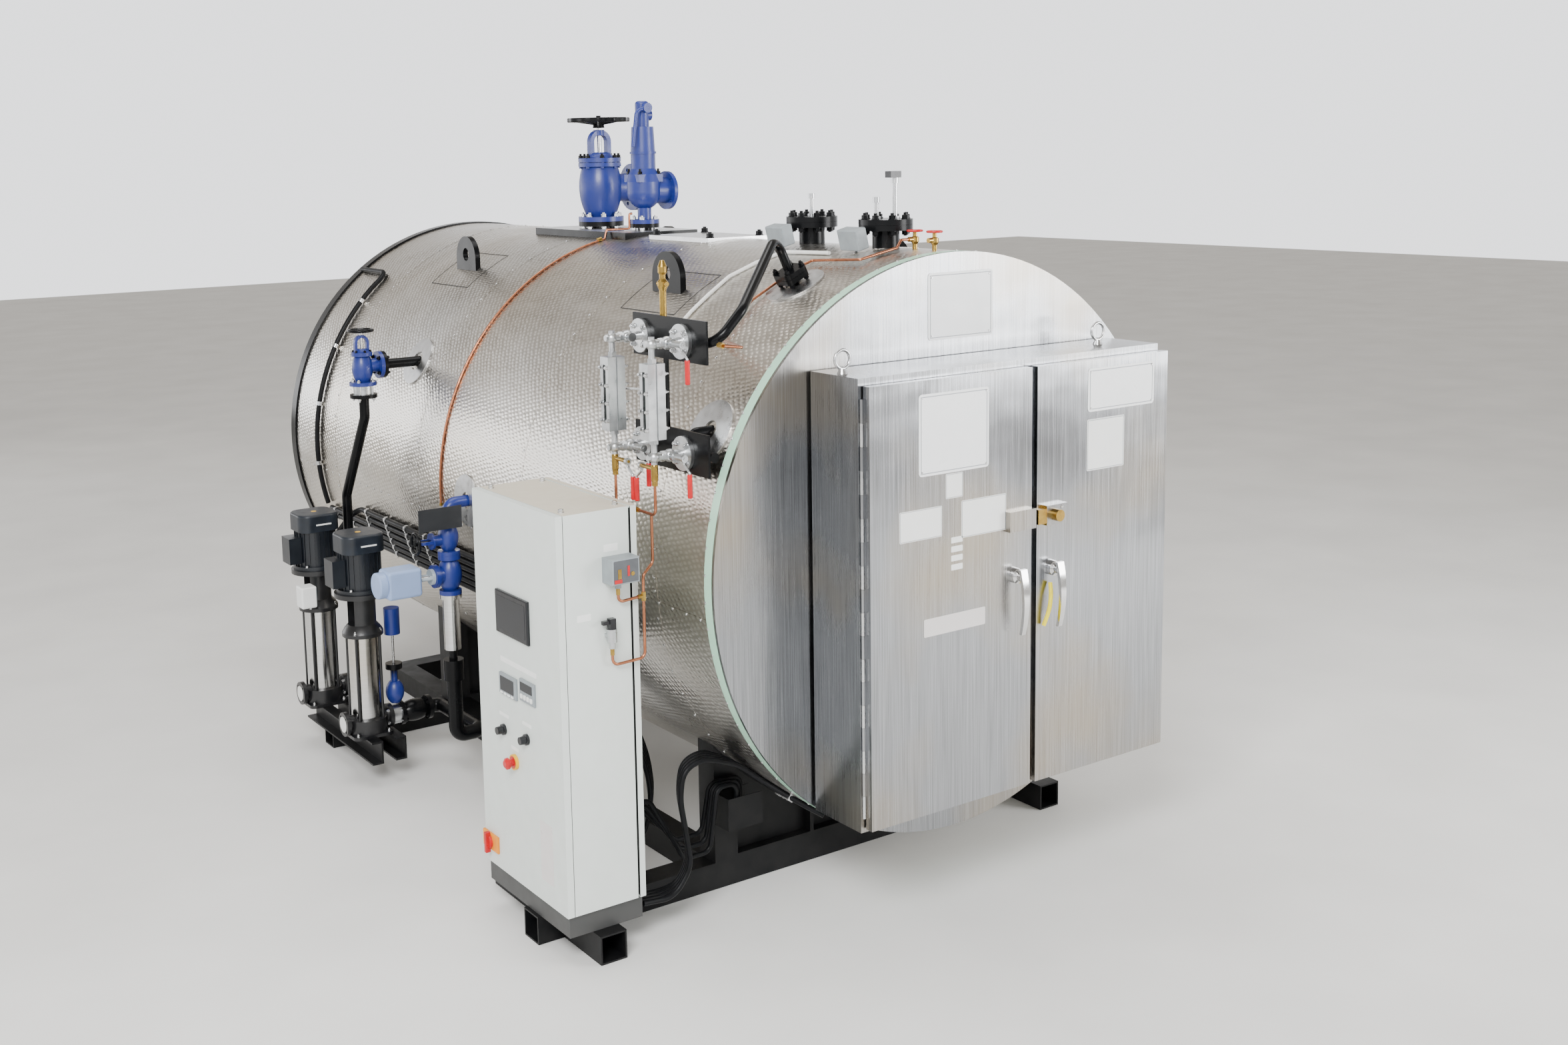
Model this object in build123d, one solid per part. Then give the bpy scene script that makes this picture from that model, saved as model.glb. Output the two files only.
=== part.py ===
from build123d import *
import math
import os

os.makedirs("parts", exist_ok=True)

# Industrial boiler on a skid, in millimetres.
# The frame stands on level ground. Z is up, +Y runs towards the rear and +X is the right side.
# The origin is the middle of the front cross-beam's underside, below the shell's axis.

# Fits and clearances
seat_gap = 0.3
running_gap = 1.0
pivot_gap = 0.3
door_gap = 6.0
cut_overrun = 20.0

# Shell
shell_radius = 1050.0
shell_length = 3885.0
shell_front = -478.0
axis_height = 1250.0
cladding_wall = 30.0
end_plate_thickness = 12.0
rim_width = 60.0
rim_height = 8.0

# Skid of square hollow section
beam_size = 100.0
beam_wall = 6.0
beam_end_left = -1509.0
rail_outer = 781.0
right_stub_front = -227.0
left_stub_front = -302.0
left_stub_x = -1409.0
left_stub_rear = 478.0
middle_beam_y = 2245.0
middle_beam_left = -1369.0
rear_beam_y = 2872.0

# Saddles
saddle_thickness = 16.0
saddle_post = 100.0
saddle_foot = 12.0
saddle_rise = 130.0

# Lifting lugs
lug_angle = 32.0
lug_length = 200.0
lug_height = 150.0
lug_thickness = 25.0
lug_hole = 60.0
lug_places = [528.0, 2280.0]

# Covers on the crown
cover_half_width = 190.0
cover_front = 1457.0
cover_rear = 2292.0
cover_rise = 14.0
access_half_width = 150.0
access_front = 863.0
access_rear = 1322.0
access_rise = 8.0

# Front enclosure
enclosure_left = -656.0
enclosure_right = 743.0
enclosure_drop = 831.0
enclosure_rise = 689.0
enclosure_depth = 248.0
enclosure_stand_off = 12.0
enclosure_wall = 4.0
enclosure_lip = 28.0
door_thickness = 30.0
door_skin = 3.0
door_left_inset = 17.0
door_right_overhang = 13.0
door_top_inset = 25.0
door_bottom_inset = 12.0
door_seam = 90.0
seam_width = 25.0
mullion_width = 70.0
mullion_thickness = 8.0
spacer_width = 60.0
spacer_height = 80.0

# Door hinges
hinge_knuckle = 6.0
hinge_pin = 3.0
hinge_leaf = 3.0
hinge_margin = 2.0
piano_hinge_inset = 40.0
piano_hinge_knuckles = 9
barrel_hinge_shares = [(0.20, 0.345), (0.725, 0.89)]

# Eye bolts
eye_bolt_outer = 36.0
eye_bolt_wire = 11.0
eye_bolt_shank = 24.0
eye_bolt_collar = 18.0

# Door handles
lever_length = 230.0
lever_width = 30.0
lever_tip_width = 18.0
lever_thickness = 12.0
lever_bow = 16.0
lever_stand_off = 42.0
lever_boss = 27.0
lever_rise = -52.0
lever_inset = 88.0

# Lock bracket over the door seam
clasp_height = 70.0
clasp_depth = 24.0
left_clasp_width = 122.0
right_clasp_width = 100.0
clasp_rise = 143.0
lock_block_width = 76.0
lock_block_height = 52.0
lock_knob = 26.0

# Control cabinet
cabinet_clearance = 155.0
cabinet_depth = 300.0
cabinet_width = 600.0
cabinet_height = 1350.0
cabinet_front = -261.0
plinth_height = 75.0
cabinet_wall = 3.0
cabinet_door_thickness = 25.0
back_panel_thickness = 22.0
back_panel_gap = 8.0
plinth_inset = 10.0
plinth_wall = 4.0
screen_width = 230.0
screen_height = 150.0
screen_rise = 12.0
screen_from_front = 315.0
screen_rise_on_door = 955.0
square_controller_width = 122.0
square_controller_height = 75.0
tall_controller_width = 103.0
tall_controller_height = 77.0
square_controller_from_front = 366.0
square_controller_up = 700.0
tall_controller_from_front = 225.0
tall_controller_up = 714.0
controller_rise = 10.0
knob_radius = 15.0
knob_length = 30.0
right_knob_from_front = 248.0
right_knob_up = 544.0
left_knob_from_front = 418.0
left_knob_up = 531.0
stop_radius = 20.0
stop_collar = 27.0
stop_length = 42.0
stop_from_front = 342.0
stop_up = 437.0
isolator_width = 112.0
isolator_height = 60.0
isolator_from_front = 548.0
isolator_up = 82.0
isolator_rise = 10.0
isolator_grip = 38.0

# Instruments on the cabinet's front side
switch_width = 104.0
switch_height = 84.0
switch_depth = 66.0
switch_from_right = 82.0
switch_up = 1153.0
transmitter_radius = 17.0
transmitter_height = 44.0
transmitter_from_right = 115.0
transmitter_up = 935.0
plug_width = 22.0
plug_height = 50.0
copper_radius = 5.0
copper_bend = 22.0
copper_tee_from_right = -9.0
copper_stand_off = 40.0

# Crown valve
crown_y = 1990.0
crown_nozzle_radius = 62.0
crown_flange_radius = 106.0
crown_flange_thickness = 22.0
crown_flange_rise = 46.0
crown_neck = 66.0
crown_bowl = 100.0
crown_shoulder = 84.0
crown_outlet_rise = 154.0
crown_bonnet_rise = 254.0
crown_bonnet_radius = 100.0
crown_bonnet_thickness = 40.0
crown_bonnet_joint = 3.0
crown_gland_radius = 34.0
crown_gland_height = 26.0
crown_yoke_rise = 130.0
crown_yoke_width = 110.0
crown_yoke_arm = 20.0
crown_yoke_depth = 34.0
crown_yoke_boss = 26.0
crown_stem = 11.0
crown_wheel_radius = 146.0
crown_wheel_rim = 20.0
crown_wheel_wave = 7.0
crown_wheel_waves = 12
crown_wheel_hub = 28.0
crown_wheel_lift = 46.0
crown_wheel_dish = 26.0
crown_outlet_reach = 190.0
crown_outlet_flange = 110.0
crown_bore = 40.0
crown_bolt_circle = 170.0
crown_bolt_hole = 18.0
crown_stud = 8.0

# Safety valve
safety_y = 1600.0
safety_flange_radius = 66.0
safety_flange_thickness = 18.0
safety_flange_rise = 45.0
safety_neck = 31.0
safety_bowl = 76.0
safety_outlet_rise = 145.0
safety_square = 126.0
safety_square_rise = 186.0
safety_square_thickness = 34.0
safety_bonnet_radius = 55.0
safety_bonnet_height = 211.0
safety_band_rise = 120.0
safety_band = 5.0
safety_cap_radius = 31.0
safety_cap_height = 114.0
safety_outlet_reach = 130.0
safety_outlet_flange = 86.0
safety_outlet_bore = 40.0
safety_bolt_circle = 130.0
safety_bolt_hole = 14.0
safety_lever_drop = 170.0
safety_lever_width = 22.0
safety_pivot = 7.0
safety_drain_rise = 28.0

# Feed stop valve
feed_stand_off = 137.0
feed_y = 2078.0
feed_rise = 503.0
feed_pipe_radius = 22.0
feed_flange_radius = 60.0
feed_flange_thickness = 16.0
feed_body = 38.0
feed_half_length = 85.0
feed_bonnet_height = 62.0
feed_bonnet_radius = 46.0
feed_yoke_height = 76.0
feed_yoke_width = 66.0
feed_yoke_arm = 12.0
feed_yoke_depth = 20.0
feed_stem = 7.0
feed_wheel_radius = 58.0
feed_wheel_rim = 7.0
feed_wheel_lift = 20.0
check_thickness = 38.0
check_radius = 50.0
check_stud = 6.0
collar_radius = 110.0
collar_rise = 6.0

# Pumps
pump_stand_off = 320.0
pump_places = [1765.0, 2285.0]
channel_front = 1622.0
channel_rear = 2400.0
channel_size = 100.0
channel_flange = 50.0
channel_wall = 8.0
channel_overlap = 9.0
channel_second_gap = 56.0
pump_base_size = 180.0
pump_base_height = 74.0
pump_base_plate = 14.0
pump_base_corner = 26.0
pump_port_rise = 57.0
pump_flange_radius = 52.0
pump_flange_thickness = 18.0
pump_flange_reach = 108.0
pump_neck = 34.0
pump_port = 20.0
pump_bolt_circle = 78.0
pump_bolt_hole = 12.0
pump_sleeve_radius = 65.0
pump_sleeve_height = 365.0
pump_tie_rod = 6.0
pump_tie_circle = 150.0
pump_top_flange_radius = 87.0
pump_top_flange_height = 50.0
pump_stool_radius = 62.0
pump_stool_height = 110.0
pump_stool_plate_radius = 112.0
pump_stool_plate = 34.0
pump_window_share = 0.62
motor_radius = 92.0
motor_height = 176.0
motor_rib = 5.0
motor_ribs = 24
fan_cover_width = 186.0
fan_cover_height = 78.0
fan_cover_corner = 52.0
terminal_box_depth = 56.0
terminal_box_width = 96.0
terminal_box_height = 118.0
drive_box_width = 76.0
drive_box_height = 96.0
drive_box_depth = 70.0
riser_out = 52.0
riser_bend = 46.0
riser_turn_rise = 885.0
riser_top_straight = 105.0

# Discharge group beside the near pump
discharge_reach = 146.0
discharge_body = 44.0
bypass_offset = 25.0
bypass_body = 40.0
bypass_body_height = 96.0
bypass_neck = 14.0
bypass_disc = 36.0
bypass_disc_rise = 205.0
bypass_disc_thickness = 24.0
bypass_rod = 6.0
bypass_cylinder = 34.0
bypass_cylinder_rise = 360.0
bypass_cylinder_height = 116.0

# Feed control station
station_stand_off = 92.0
station_y = 1350.0
station_pipe_radius = 31.0
station_bend = 40.0
station_run = 52.0
station_collar_rise = 245.0
station_collar_height = 87.0
station_collar = 42.0
station_fitting = 17.0
station_fitting_height = 44.0
station_tube = 35.0
station_tube_height = 236.0
station_flange = 46.0
station_flange_thickness = 18.0
control_bowl = 50.0
control_height = 130.0
control_bonnet_reach = 76.0
control_bonnet = 48.0
hand_valve_height = 130.0
hand_valve_bowl = 42.0
hand_valve_reach = 80.0
hand_valve_neck = 23.0
hand_yoke_length = 58.0
hand_wheel_radius = 48.0
hand_wheel_rim = 6.0
inlet_pipe_radius = 24.0
inlet_neck_height = 84.0
inlet_elbow = 40.0
actuator_yoke_length = 68.0
actuator_yoke = 33.0
actuator_length = 148.0
actuator_height = 118.0
actuator_width = 108.0
actuator_cap = 54.0
actuator_cap_length = 34.0
actuator_corner = 14.0
shield_width = 190.0
shield_height = 92.0
shield_thickness = 3.0
shield_forward = 70.0
shield_rise = 90.0

# Conduits held to the shell
conduit_radius = 13.0
conduit_count = 6
conduit_first_angle = 193.2
conduit_pitch_angle = 1.86
conduit_lift = 4.0
conduit_front = 300.0
conduit_rear = 2490.0
conduit_long_rear = 2985.0
conduit_clip_places = [560.0, 1100.0, 1810.0, 2020.0, 2245.0, 2470.0]
conduit_long_clip_places = [2700.0, 2915.0]
conduit_clip_width = 16.0
conduit_clip_lift = 3.0
conduit_bend = 60.0
rear_conduit_y = 3020.0
rear_conduit_radius = 12.0
rear_conduit_top_angle = 128.0
rear_conduit_end = 3335.0

# Level gauges
bracket_inset = 20.0
bracket_thickness = 8.0
bracket_front = -434.0
bracket_rear = 16.0
upper_bracket_rise = 735.0
lower_bracket_rise = 365.0
bracket_height = 142.0
bracket_link_width = 22.0
bracket_link_y = -185.0
gauge_places = [-43.0, -295.0]
gauge_stand_off = 100.0
gauge_height = 250.0
gauge_width = 52.0
gauge_depth = 66.0
gauge_joint = 3.0
gauge_window_width = 16.0
gauge_window_margin = 26.0
gauge_window_depth = 7.0
gauge_bolt = 7.0
gauge_bolt_pairs = 4
gauge_rise = 490.0
cock_reach = 62.0
upper_cock_drop = 3.0
cock_flange_radius = 58.0
cock_flange_thickness = 14.0
cock_radius = 15.0
cock_block = 40.0
cock_stem_reach = 80.0
cock_lever_length = 105.0
cock_lever_crank = 32.0
cock_grip = 8.5
cock_shank = 4.5
cock_pivot = 5.0
cock_hub = 12.0
gauge_pipe_radius = 17.0
lower_nozzle_rise = 495.0
drain_drop = 38.0
drain_stem = 76.0
drain_body = 12.0

# Brass cock above the upper bracket
brass_cock_y = -140.0
brass_cock_radius = 12.0
brass_cock_height = 240.0

# Copper loop between the gauges' drains and the lines down to the instruments
loop_drop = 194.0
drain_fitting_drop = 57.0
loop_union = 40.0
line_first_drop = 162.0
line_second_drop = 196.0
tee_up = 1046.0
tee_half = 15.0

# Balance pipe
balance_flange_radius = 50.0
balance_flange_thickness = 18.0
balance_nozzle_rise = 60.0
balance_rise = 130.0
balance_run = 105.0
balance_bend = 62.0
balance_nozzle_y = -148.0
balance_nozzle_angle = 116.0
balance_square = 96.0

# Probe nozzles
probe_places = [355.0, -93.0]
probe_flange_radius = 100.0
probe_flange_thickness = 20.0
probe_flange_rise = 105.0
probe_neck_radius = 50.0
probe_radius = 9.0
probe_heights = [88.0, 80.0, 150.0]
probe_offset = 24.0
probe_head_radius = 17.0
probe_head_height = 40.0
probe_box_width = 110.0
probe_box_height = 78.0
probe_box_depth = 52.0
probe_box_tilt = 14.0
probe_box_left = 155.0
probe_box_rise = 50.0

# Small valves with red wheels on the crown
vent_places = [-256.0, -362.0]
vent_x = 0.0
vent_body = 15.0
vent_height = 62.0
vent_wheel = 30.0
vent_wheel_thickness = 8.0

# Copper line over the shell
copper_y = 1600.0
copper_top_angle = 101.5
copper_end_rise = -50.0
copper_clip = 12.0

# Cables below the shell and their trough
cable_radius = 9.0
cable_count = 3
cable_pitch = 26.0
cable_bend = 70.0
cable_low = 190.0
cable_high = 440.0
trough_width = 150.0
trough_depth = 90.0
trough_height = 120.0
trough_wall = 3.0
trough_rise = 150.0
signal_radius = 7.0
signal_lift = 2.2
signal_angles = [131.0, 127.8, 122.6, 116.0, 109.6, 102.8, 101.5]
signal_places = [230.0, 233.0, 236.0, 255.0, 236.0, 227.0, -25.0]

# Copper line along the front of the shell
front_line_run = 70.0
front_line_angles = [134.0, 130.1, 123.1, 116.3, 111.3, 107.3, 105.2, 95.7]
front_line_places = [-85.0, -79.0, -60.0, -73.0, -57.0, -63.0, -290.0, -281.0]

# Worked out from the sizes above
shell_back = shell_front + shell_length
shell_top = axis_height + shell_radius
shell_outside = shell_radius + seat_gap
cladding_front = shell_front + end_plate_thickness
cladding_back = shell_back - end_plate_thickness
beam_half = beam_size / 2
skid_top = beam_size
enclosure_bottom = axis_height - enclosure_drop
enclosure_top = axis_height + enclosure_rise
enclosure_back = shell_front - enclosure_stand_off
body_front = enclosure_back - enclosure_depth
door_back = body_front - door_gap
door_front = door_back - door_thickness
door_low = enclosure_bottom + door_bottom_inset
door_high = enclosure_top - door_top_inset
lever_height = axis_height + lever_rise
clasp_z = axis_height + clasp_rise
cabinet_right = -shell_radius - cabinet_clearance
cabinet_left = cabinet_right - cabinet_depth
cabinet_rear = cabinet_front + cabinet_width
cabinet_bottom = skid_top + plinth_height
cabinet_top = cabinet_bottom + cabinet_height
crown_base = shell_top + crown_flange_rise
crown_outlet_z = crown_base + crown_outlet_rise
crown_bonnet_low = crown_base + crown_bonnet_rise
crown_yoke_low = crown_bonnet_low + crown_bonnet_thickness
crown_yoke_top = crown_yoke_low + crown_yoke_rise
crown_wheel_z = crown_yoke_top + crown_wheel_lift
safety_base = shell_top + safety_flange_rise
safety_outlet_z = safety_base + safety_outlet_rise
safety_square_low = safety_base + safety_square_rise
safety_square_top = safety_square_low + safety_square_thickness
safety_bonnet_top = safety_square_top + safety_bonnet_height
safety_cap_top = safety_bonnet_top + safety_cap_height
feed_x = -shell_radius - feed_stand_off
feed_z = axis_height + feed_rise
feed_low = feed_z - feed_half_length
feed_bonnet = feed_z + feed_bonnet_height
feed_yoke_top = feed_bonnet + feed_yoke_height
feed_wheel_z = feed_yoke_top + feed_wheel_lift
pump_x = -shell_radius - pump_stand_off
channel_low = skid_top + seat_gap
channel_top = channel_low + channel_size
channel_right = middle_beam_left + channel_overlap
base_low = channel_top + seat_gap
base_top = base_low + pump_base_height
port_z = base_low + pump_port_rise
sleeve_low = base_top + seat_gap
sleeve_top = sleeve_low + pump_sleeve_height
stool_low = sleeve_top + seat_gap
stool_top = stool_low + pump_top_flange_height + pump_stool_height + pump_stool_plate
motor_low = stool_top + seat_gap
motor_top = motor_low + motor_height
discharge_x = pump_x + pump_flange_reach + seat_gap
station_x = -shell_radius - station_stand_off
tube_low = port_z + station_collar_rise + station_collar_height + station_fitting_height
tube_top = tube_low + station_tube_height
control_low = tube_top + seat_gap
control_top = control_low + station_flange_thickness * 2 + control_height
control_z = (control_low + control_top) / 2
hand_low = control_top + seat_gap
hand_top = hand_low + hand_valve_height
hand_z = hand_low + hand_valve_height / 2
inlet_z = hand_top + inlet_neck_height
bracket_x = -shell_radius + bracket_inset
gauge_x = -shell_radius - gauge_stand_off
gauge_bottom = axis_height + gauge_rise
gauge_top = gauge_bottom + gauge_height
upper_bracket_low = axis_height + upper_bracket_rise
upper_bracket_high = upper_bracket_low + bracket_height
lower_bracket_low = axis_height + lower_bracket_rise
lower_bracket_high = lower_bracket_low + bracket_height
upper_cock_z = gauge_top + cock_reach
lower_cock_z = gauge_bottom - cock_reach + upper_cock_drop
lower_nozzle_z = axis_height + lower_nozzle_rise
drain_z = lower_cock_z - drain_drop
loop_top = drain_z - drain_fitting_drop
loop_low = lower_cock_z - loop_drop
tee_z = cabinet_bottom + tee_up
drain_rise_z = safety_base + safety_flange_thickness + safety_drain_rise
probe_flange_top = shell_top + probe_flange_rise
instrument_y = cabinet_front - copper_stand_off / 2
conduit_reach = shell_outside + conduit_clip_lift + seat_gap + conduit_radius


def block(x_range, y_range, z_range):
    size = [high - low for low, high in (x_range, y_range, z_range)]
    middle = [(low + high) / 2 for low, high in (x_range, y_range, z_range)]
    return Pos(*middle) * Box(*size)


def rod(start, end, radius):
    start, end = Vector(start), Vector(end)
    reach = end - start
    plane = Plane(origin=start, z_dir=reach)
    return plane * Pos(0, 0, reach.length / 2) * Cylinder(radius, reach.length)


def disc(centre, way, radius, thickness):
    centre, way = Vector(centre), Vector(way)
    return rod(centre, centre + way.normalized() * thickness, radius)


def pipe(points, radius, bend):
    path = FilletPolyline(*points, radius=bend)
    section = Plane(origin=path @ 0, z_dir=path % 0) * Circle(radius)
    return sweep(section, path=path)


# A profile of (radius, height) points turned about the height axis. Four numbers make an arc through the last two.
def turned(profile, place):
    edges = []
    last = profile[0]
    for entry in profile[1:] + profile[:1]:
        start, end = (last[0], 0, last[1]), (entry[0], 0, entry[1])
        if len(entry) == 4:
            edges.append(ThreePointArc(start, (entry[2], 0, entry[3]), end))
        else:
            edges.append(Line(start, end))
        last = entry
    return place * revolve(make_face(edges), axis=Axis.Z)


def around(centre, way, circle, count, radius, length):
    plane = Plane(origin=centre, z_dir=way)
    pins = []
    for index in range(count):
        turn = math.radians((index + 0.5) * 360 / count)
        place = Pos(circle / 2 * math.cos(turn), circle / 2 * math.sin(turn), length / 2)
        pins.append(plane * place * Cylinder(radius, length))
    return pins


def hexagon(centre, way, across, length):
    plane = Plane(origin=centre, z_dir=way)
    return plane * extrude(RegularPolygon(across / 2, 6), amount=length)


def arch(place, width, height, arm, depth):
    half = width / 2
    leg = height - half
    outer = Pos(0, leg / 2) * Rectangle(width, leg) + Pos(0, leg) * Circle(half)
    inner = Pos(0, leg / 2) * Rectangle(width - arm * 2, leg) + Pos(0, leg) * Circle(half - arm)
    return place * Rot(90, 0, 0) * extrude(outer - inner, amount=depth / 2, both=True)


def shell_core(radius, front, back):
    return rod((0, front, axis_height), (0, back, axis_height), radius)


# A point over the shell: the angle runs from +X over the crown, and the lift is measured from the cladding
def shell_point(angle, y, lift):
    turn = math.radians(angle)
    reach = shell_radius + lift
    return (reach * math.cos(turn), y, axis_height + reach * math.sin(turn))


# Round tube bent to follow the shell's circumference
def shell_arc(y, start, end, lift, radius):
    turn = math.radians(start)
    section = Plane(origin=shell_point(start, y, lift), z_dir=(-math.sin(turn), 0,
            math.cos(turn))) * Circle(radius)
    return revolve(section, axis=Axis((0, 0, axis_height), (0, -1, 0)), revolution_arc=end - start)


def height_on_shell(x):
    return axis_height + math.sqrt(shell_radius ** 2 - x ** 2)


def side_on_shell(z):
    return math.sqrt(shell_radius ** 2 - (z - axis_height) ** 2)


def hollow_beam(x_range, y_range, z_range, along):
    outer = block(x_range, y_range, z_range)
    ranges = []
    for name, (low, high) in zip("xyz", (x_range, y_range, z_range)):
        if name == along:
            ranges.append((low - cut_overrun, high + cut_overrun))
        else:
            ranges.append((low + beam_wall, high - beam_wall))
    return outer - block(*ranges)


# Round wheel with a plain rim, for the small valves
def small_wheel(centre, way, radius, rim, hub, spokes):
    place = Plane(origin=centre, z_dir=way)
    wheel = Torus(radius - rim, rim) + Cylinder(hub, rim * 2)
    for index in range(spokes):
        turn = math.radians((index + 0.3) * 360 / spokes)
        reach = radius - rim
        wheel += rod((0, 0, 0), (reach * math.cos(turn), reach * math.sin(turn), 0), rim * 0.6)
    return place * wheel


def write(name, shape):
    export_step(shape, "parts/" + name + ".step")


# Shell and its ends
def build_shell():
    core = shell_core(shell_radius, cladding_front, cladding_back)
    inside = shell_core(shell_radius - cladding_wall, cladding_front - cut_overrun,
                        cladding_back + cut_overrun)
    write("shell_cladding", core - inside)
    write("front_end_plate", shell_core(shell_radius, shell_front, cladding_front))
    write("rear_end_plate", shell_core(shell_radius, cladding_back, shell_back))
    rim = shell_core(shell_outside + rim_height, shell_back - rim_width, shell_back)
    rim -= shell_core(shell_outside, shell_back - rim_width - cut_overrun, shell_back + cut_overrun)
    write("rear_rim", rim)


# Skid rails, cross-beams and stubs
def build_skid():
    rail_z = (0, beam_size)
    right = (rail_outer - beam_size, rail_outer)
    left = (-rail_outer, -rail_outer + beam_size)
    rails = [
        hollow_beam(right, (right_stub_front, -beam_half), rail_z, "y"),
        hollow_beam((left_stub_x, left_stub_x + beam_size), (left_stub_front, -beam_half), rail_z, "y"),
        hollow_beam((left_stub_x, left_stub_x + beam_size), (beam_half, left_stub_rear), rail_z, "y"),
    ]
    bays = [(beam_half, middle_beam_y - beam_half), (middle_beam_y + beam_half, rear_beam_y - beam_half)]
    for side in (left, right):
        for low, high in bays:
            rails.append(hollow_beam(side, (low, high), rail_z, "y"))
    write("skid_rails", Compound(children=rails))
    beams = []
    for y, end in ((0, beam_end_left), (middle_beam_y, middle_beam_left), (rear_beam_y, -rail_outer)):
        beams.append(hollow_beam((end, rail_outer), (y - beam_half, y + beam_half), rail_z, "x"))
    write("skid_cross_beams", Compound(children=beams))


# Saddles under the shell, each with a post of hollow section at both ends
def saddle(y):
    half = saddle_post / 2
    inner = rail_outer - saddle_post
    top = axis_height - math.sqrt(shell_radius ** 2 - rail_outer ** 2) + saddle_rise
    web = block((-inner, inner), (y - saddle_thickness / 2, y + saddle_thickness / 2),
                (skid_top + saddle_foot, top))
    body = web + block((-inner, inner), (y - half, y + half), (skid_top, skid_top + saddle_foot))
    for side in (-1, 1):
        x_range = sorted((side * inner, side * rail_outer))
        body += hollow_beam(x_range, (y - half, y + half), (skid_top, top), "z")
        rib = side * inner / 2
        body += block((rib - saddle_thickness / 2, rib + saddle_thickness / 2), (y - half, y + half),
                      (skid_top, top))
    return body - shell_core(shell_outside, y - saddle_post, y + saddle_post)


def build_saddles():
    low = skid_top + trough_rise
    left = -rail_outer
    y_front = -saddle_post / 2 - seat_gap - trough_depth
    trough = block((left, left + trough_width), (y_front, y_front + trough_depth), (low, low + trough_height))
    trough -= block((left + trough_wall, left + trough_width + cut_overrun),
                    (y_front + trough_wall, y_front + trough_depth - trough_wall),
                    (low + trough_wall, low + trough_height + cut_overrun))
    write("front_saddle", Compound(children=[saddle(0), trough]))
    write("rear_saddle", saddle(middle_beam_y))


# Lifting lugs
def build_lugs():
    lugs = []
    arc = lug_length / 2
    for y in lug_places:
        for side in (-1, 1):
            x = side * shell_radius * math.sin(math.radians(lug_angle))
            base = height_on_shell(x)
            x_range = (x - lug_thickness / 2, x + lug_thickness / 2)
            centre = base + lug_height - arc
            plate = block(x_range, (y - arc, y + arc), (base - lug_thickness, centre))
            plate += rod((x_range[0], y, centre), (x_range[1], y, centre), arc)
            hole = centre + lug_hole / 4
            plate -= rod((x_range[0] - cut_overrun, y, hole), (x_range[1] + cut_overrun, y, hole),
                         lug_hole / 2)
            plate -= shell_core(shell_outside, y - lug_length, y + lug_length)
            lugs.append(plate)
    write("lifting_lugs", Compound(children=lugs))


# Covers on the crown of the shell
def build_covers():
    cover = block((-cover_half_width, cover_half_width), (cover_front, cover_rear),
                  (height_on_shell(cover_half_width), shell_top + cover_rise))
    cover -= shell_core(shell_outside, cover_front - cut_overrun, cover_rear + cut_overrun)
    for y, radius in ((crown_y, crown_nozzle_radius), (safety_y, safety_neck)):
        cover -= rod((0, y, shell_top - cladding_wall), (0, y, shell_top + cover_rise + cut_overrun),
                     radius + running_gap)
    write("cover_plate", cover)
    access = block((-access_half_width, access_half_width), (access_front, access_rear),
                   (height_on_shell(access_half_width), shell_top + access_rise))
    access -= shell_core(shell_outside, access_front - cut_overrun, access_rear + cut_overrun)
    write("access_plate", access)


# Nozzle standing on the shell's crown
def crown_nozzle(y, radius, flange, flange_thickness, top):
    neck = rod((0, y, shell_top - cladding_wall), (0, y, top), radius)
    plate = rod((0, y, top - flange_thickness), (0, y, top), flange)
    return neck + plate - shell_core(shell_outside, y - flange - cut_overrun, y + flange + cut_overrun)


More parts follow.
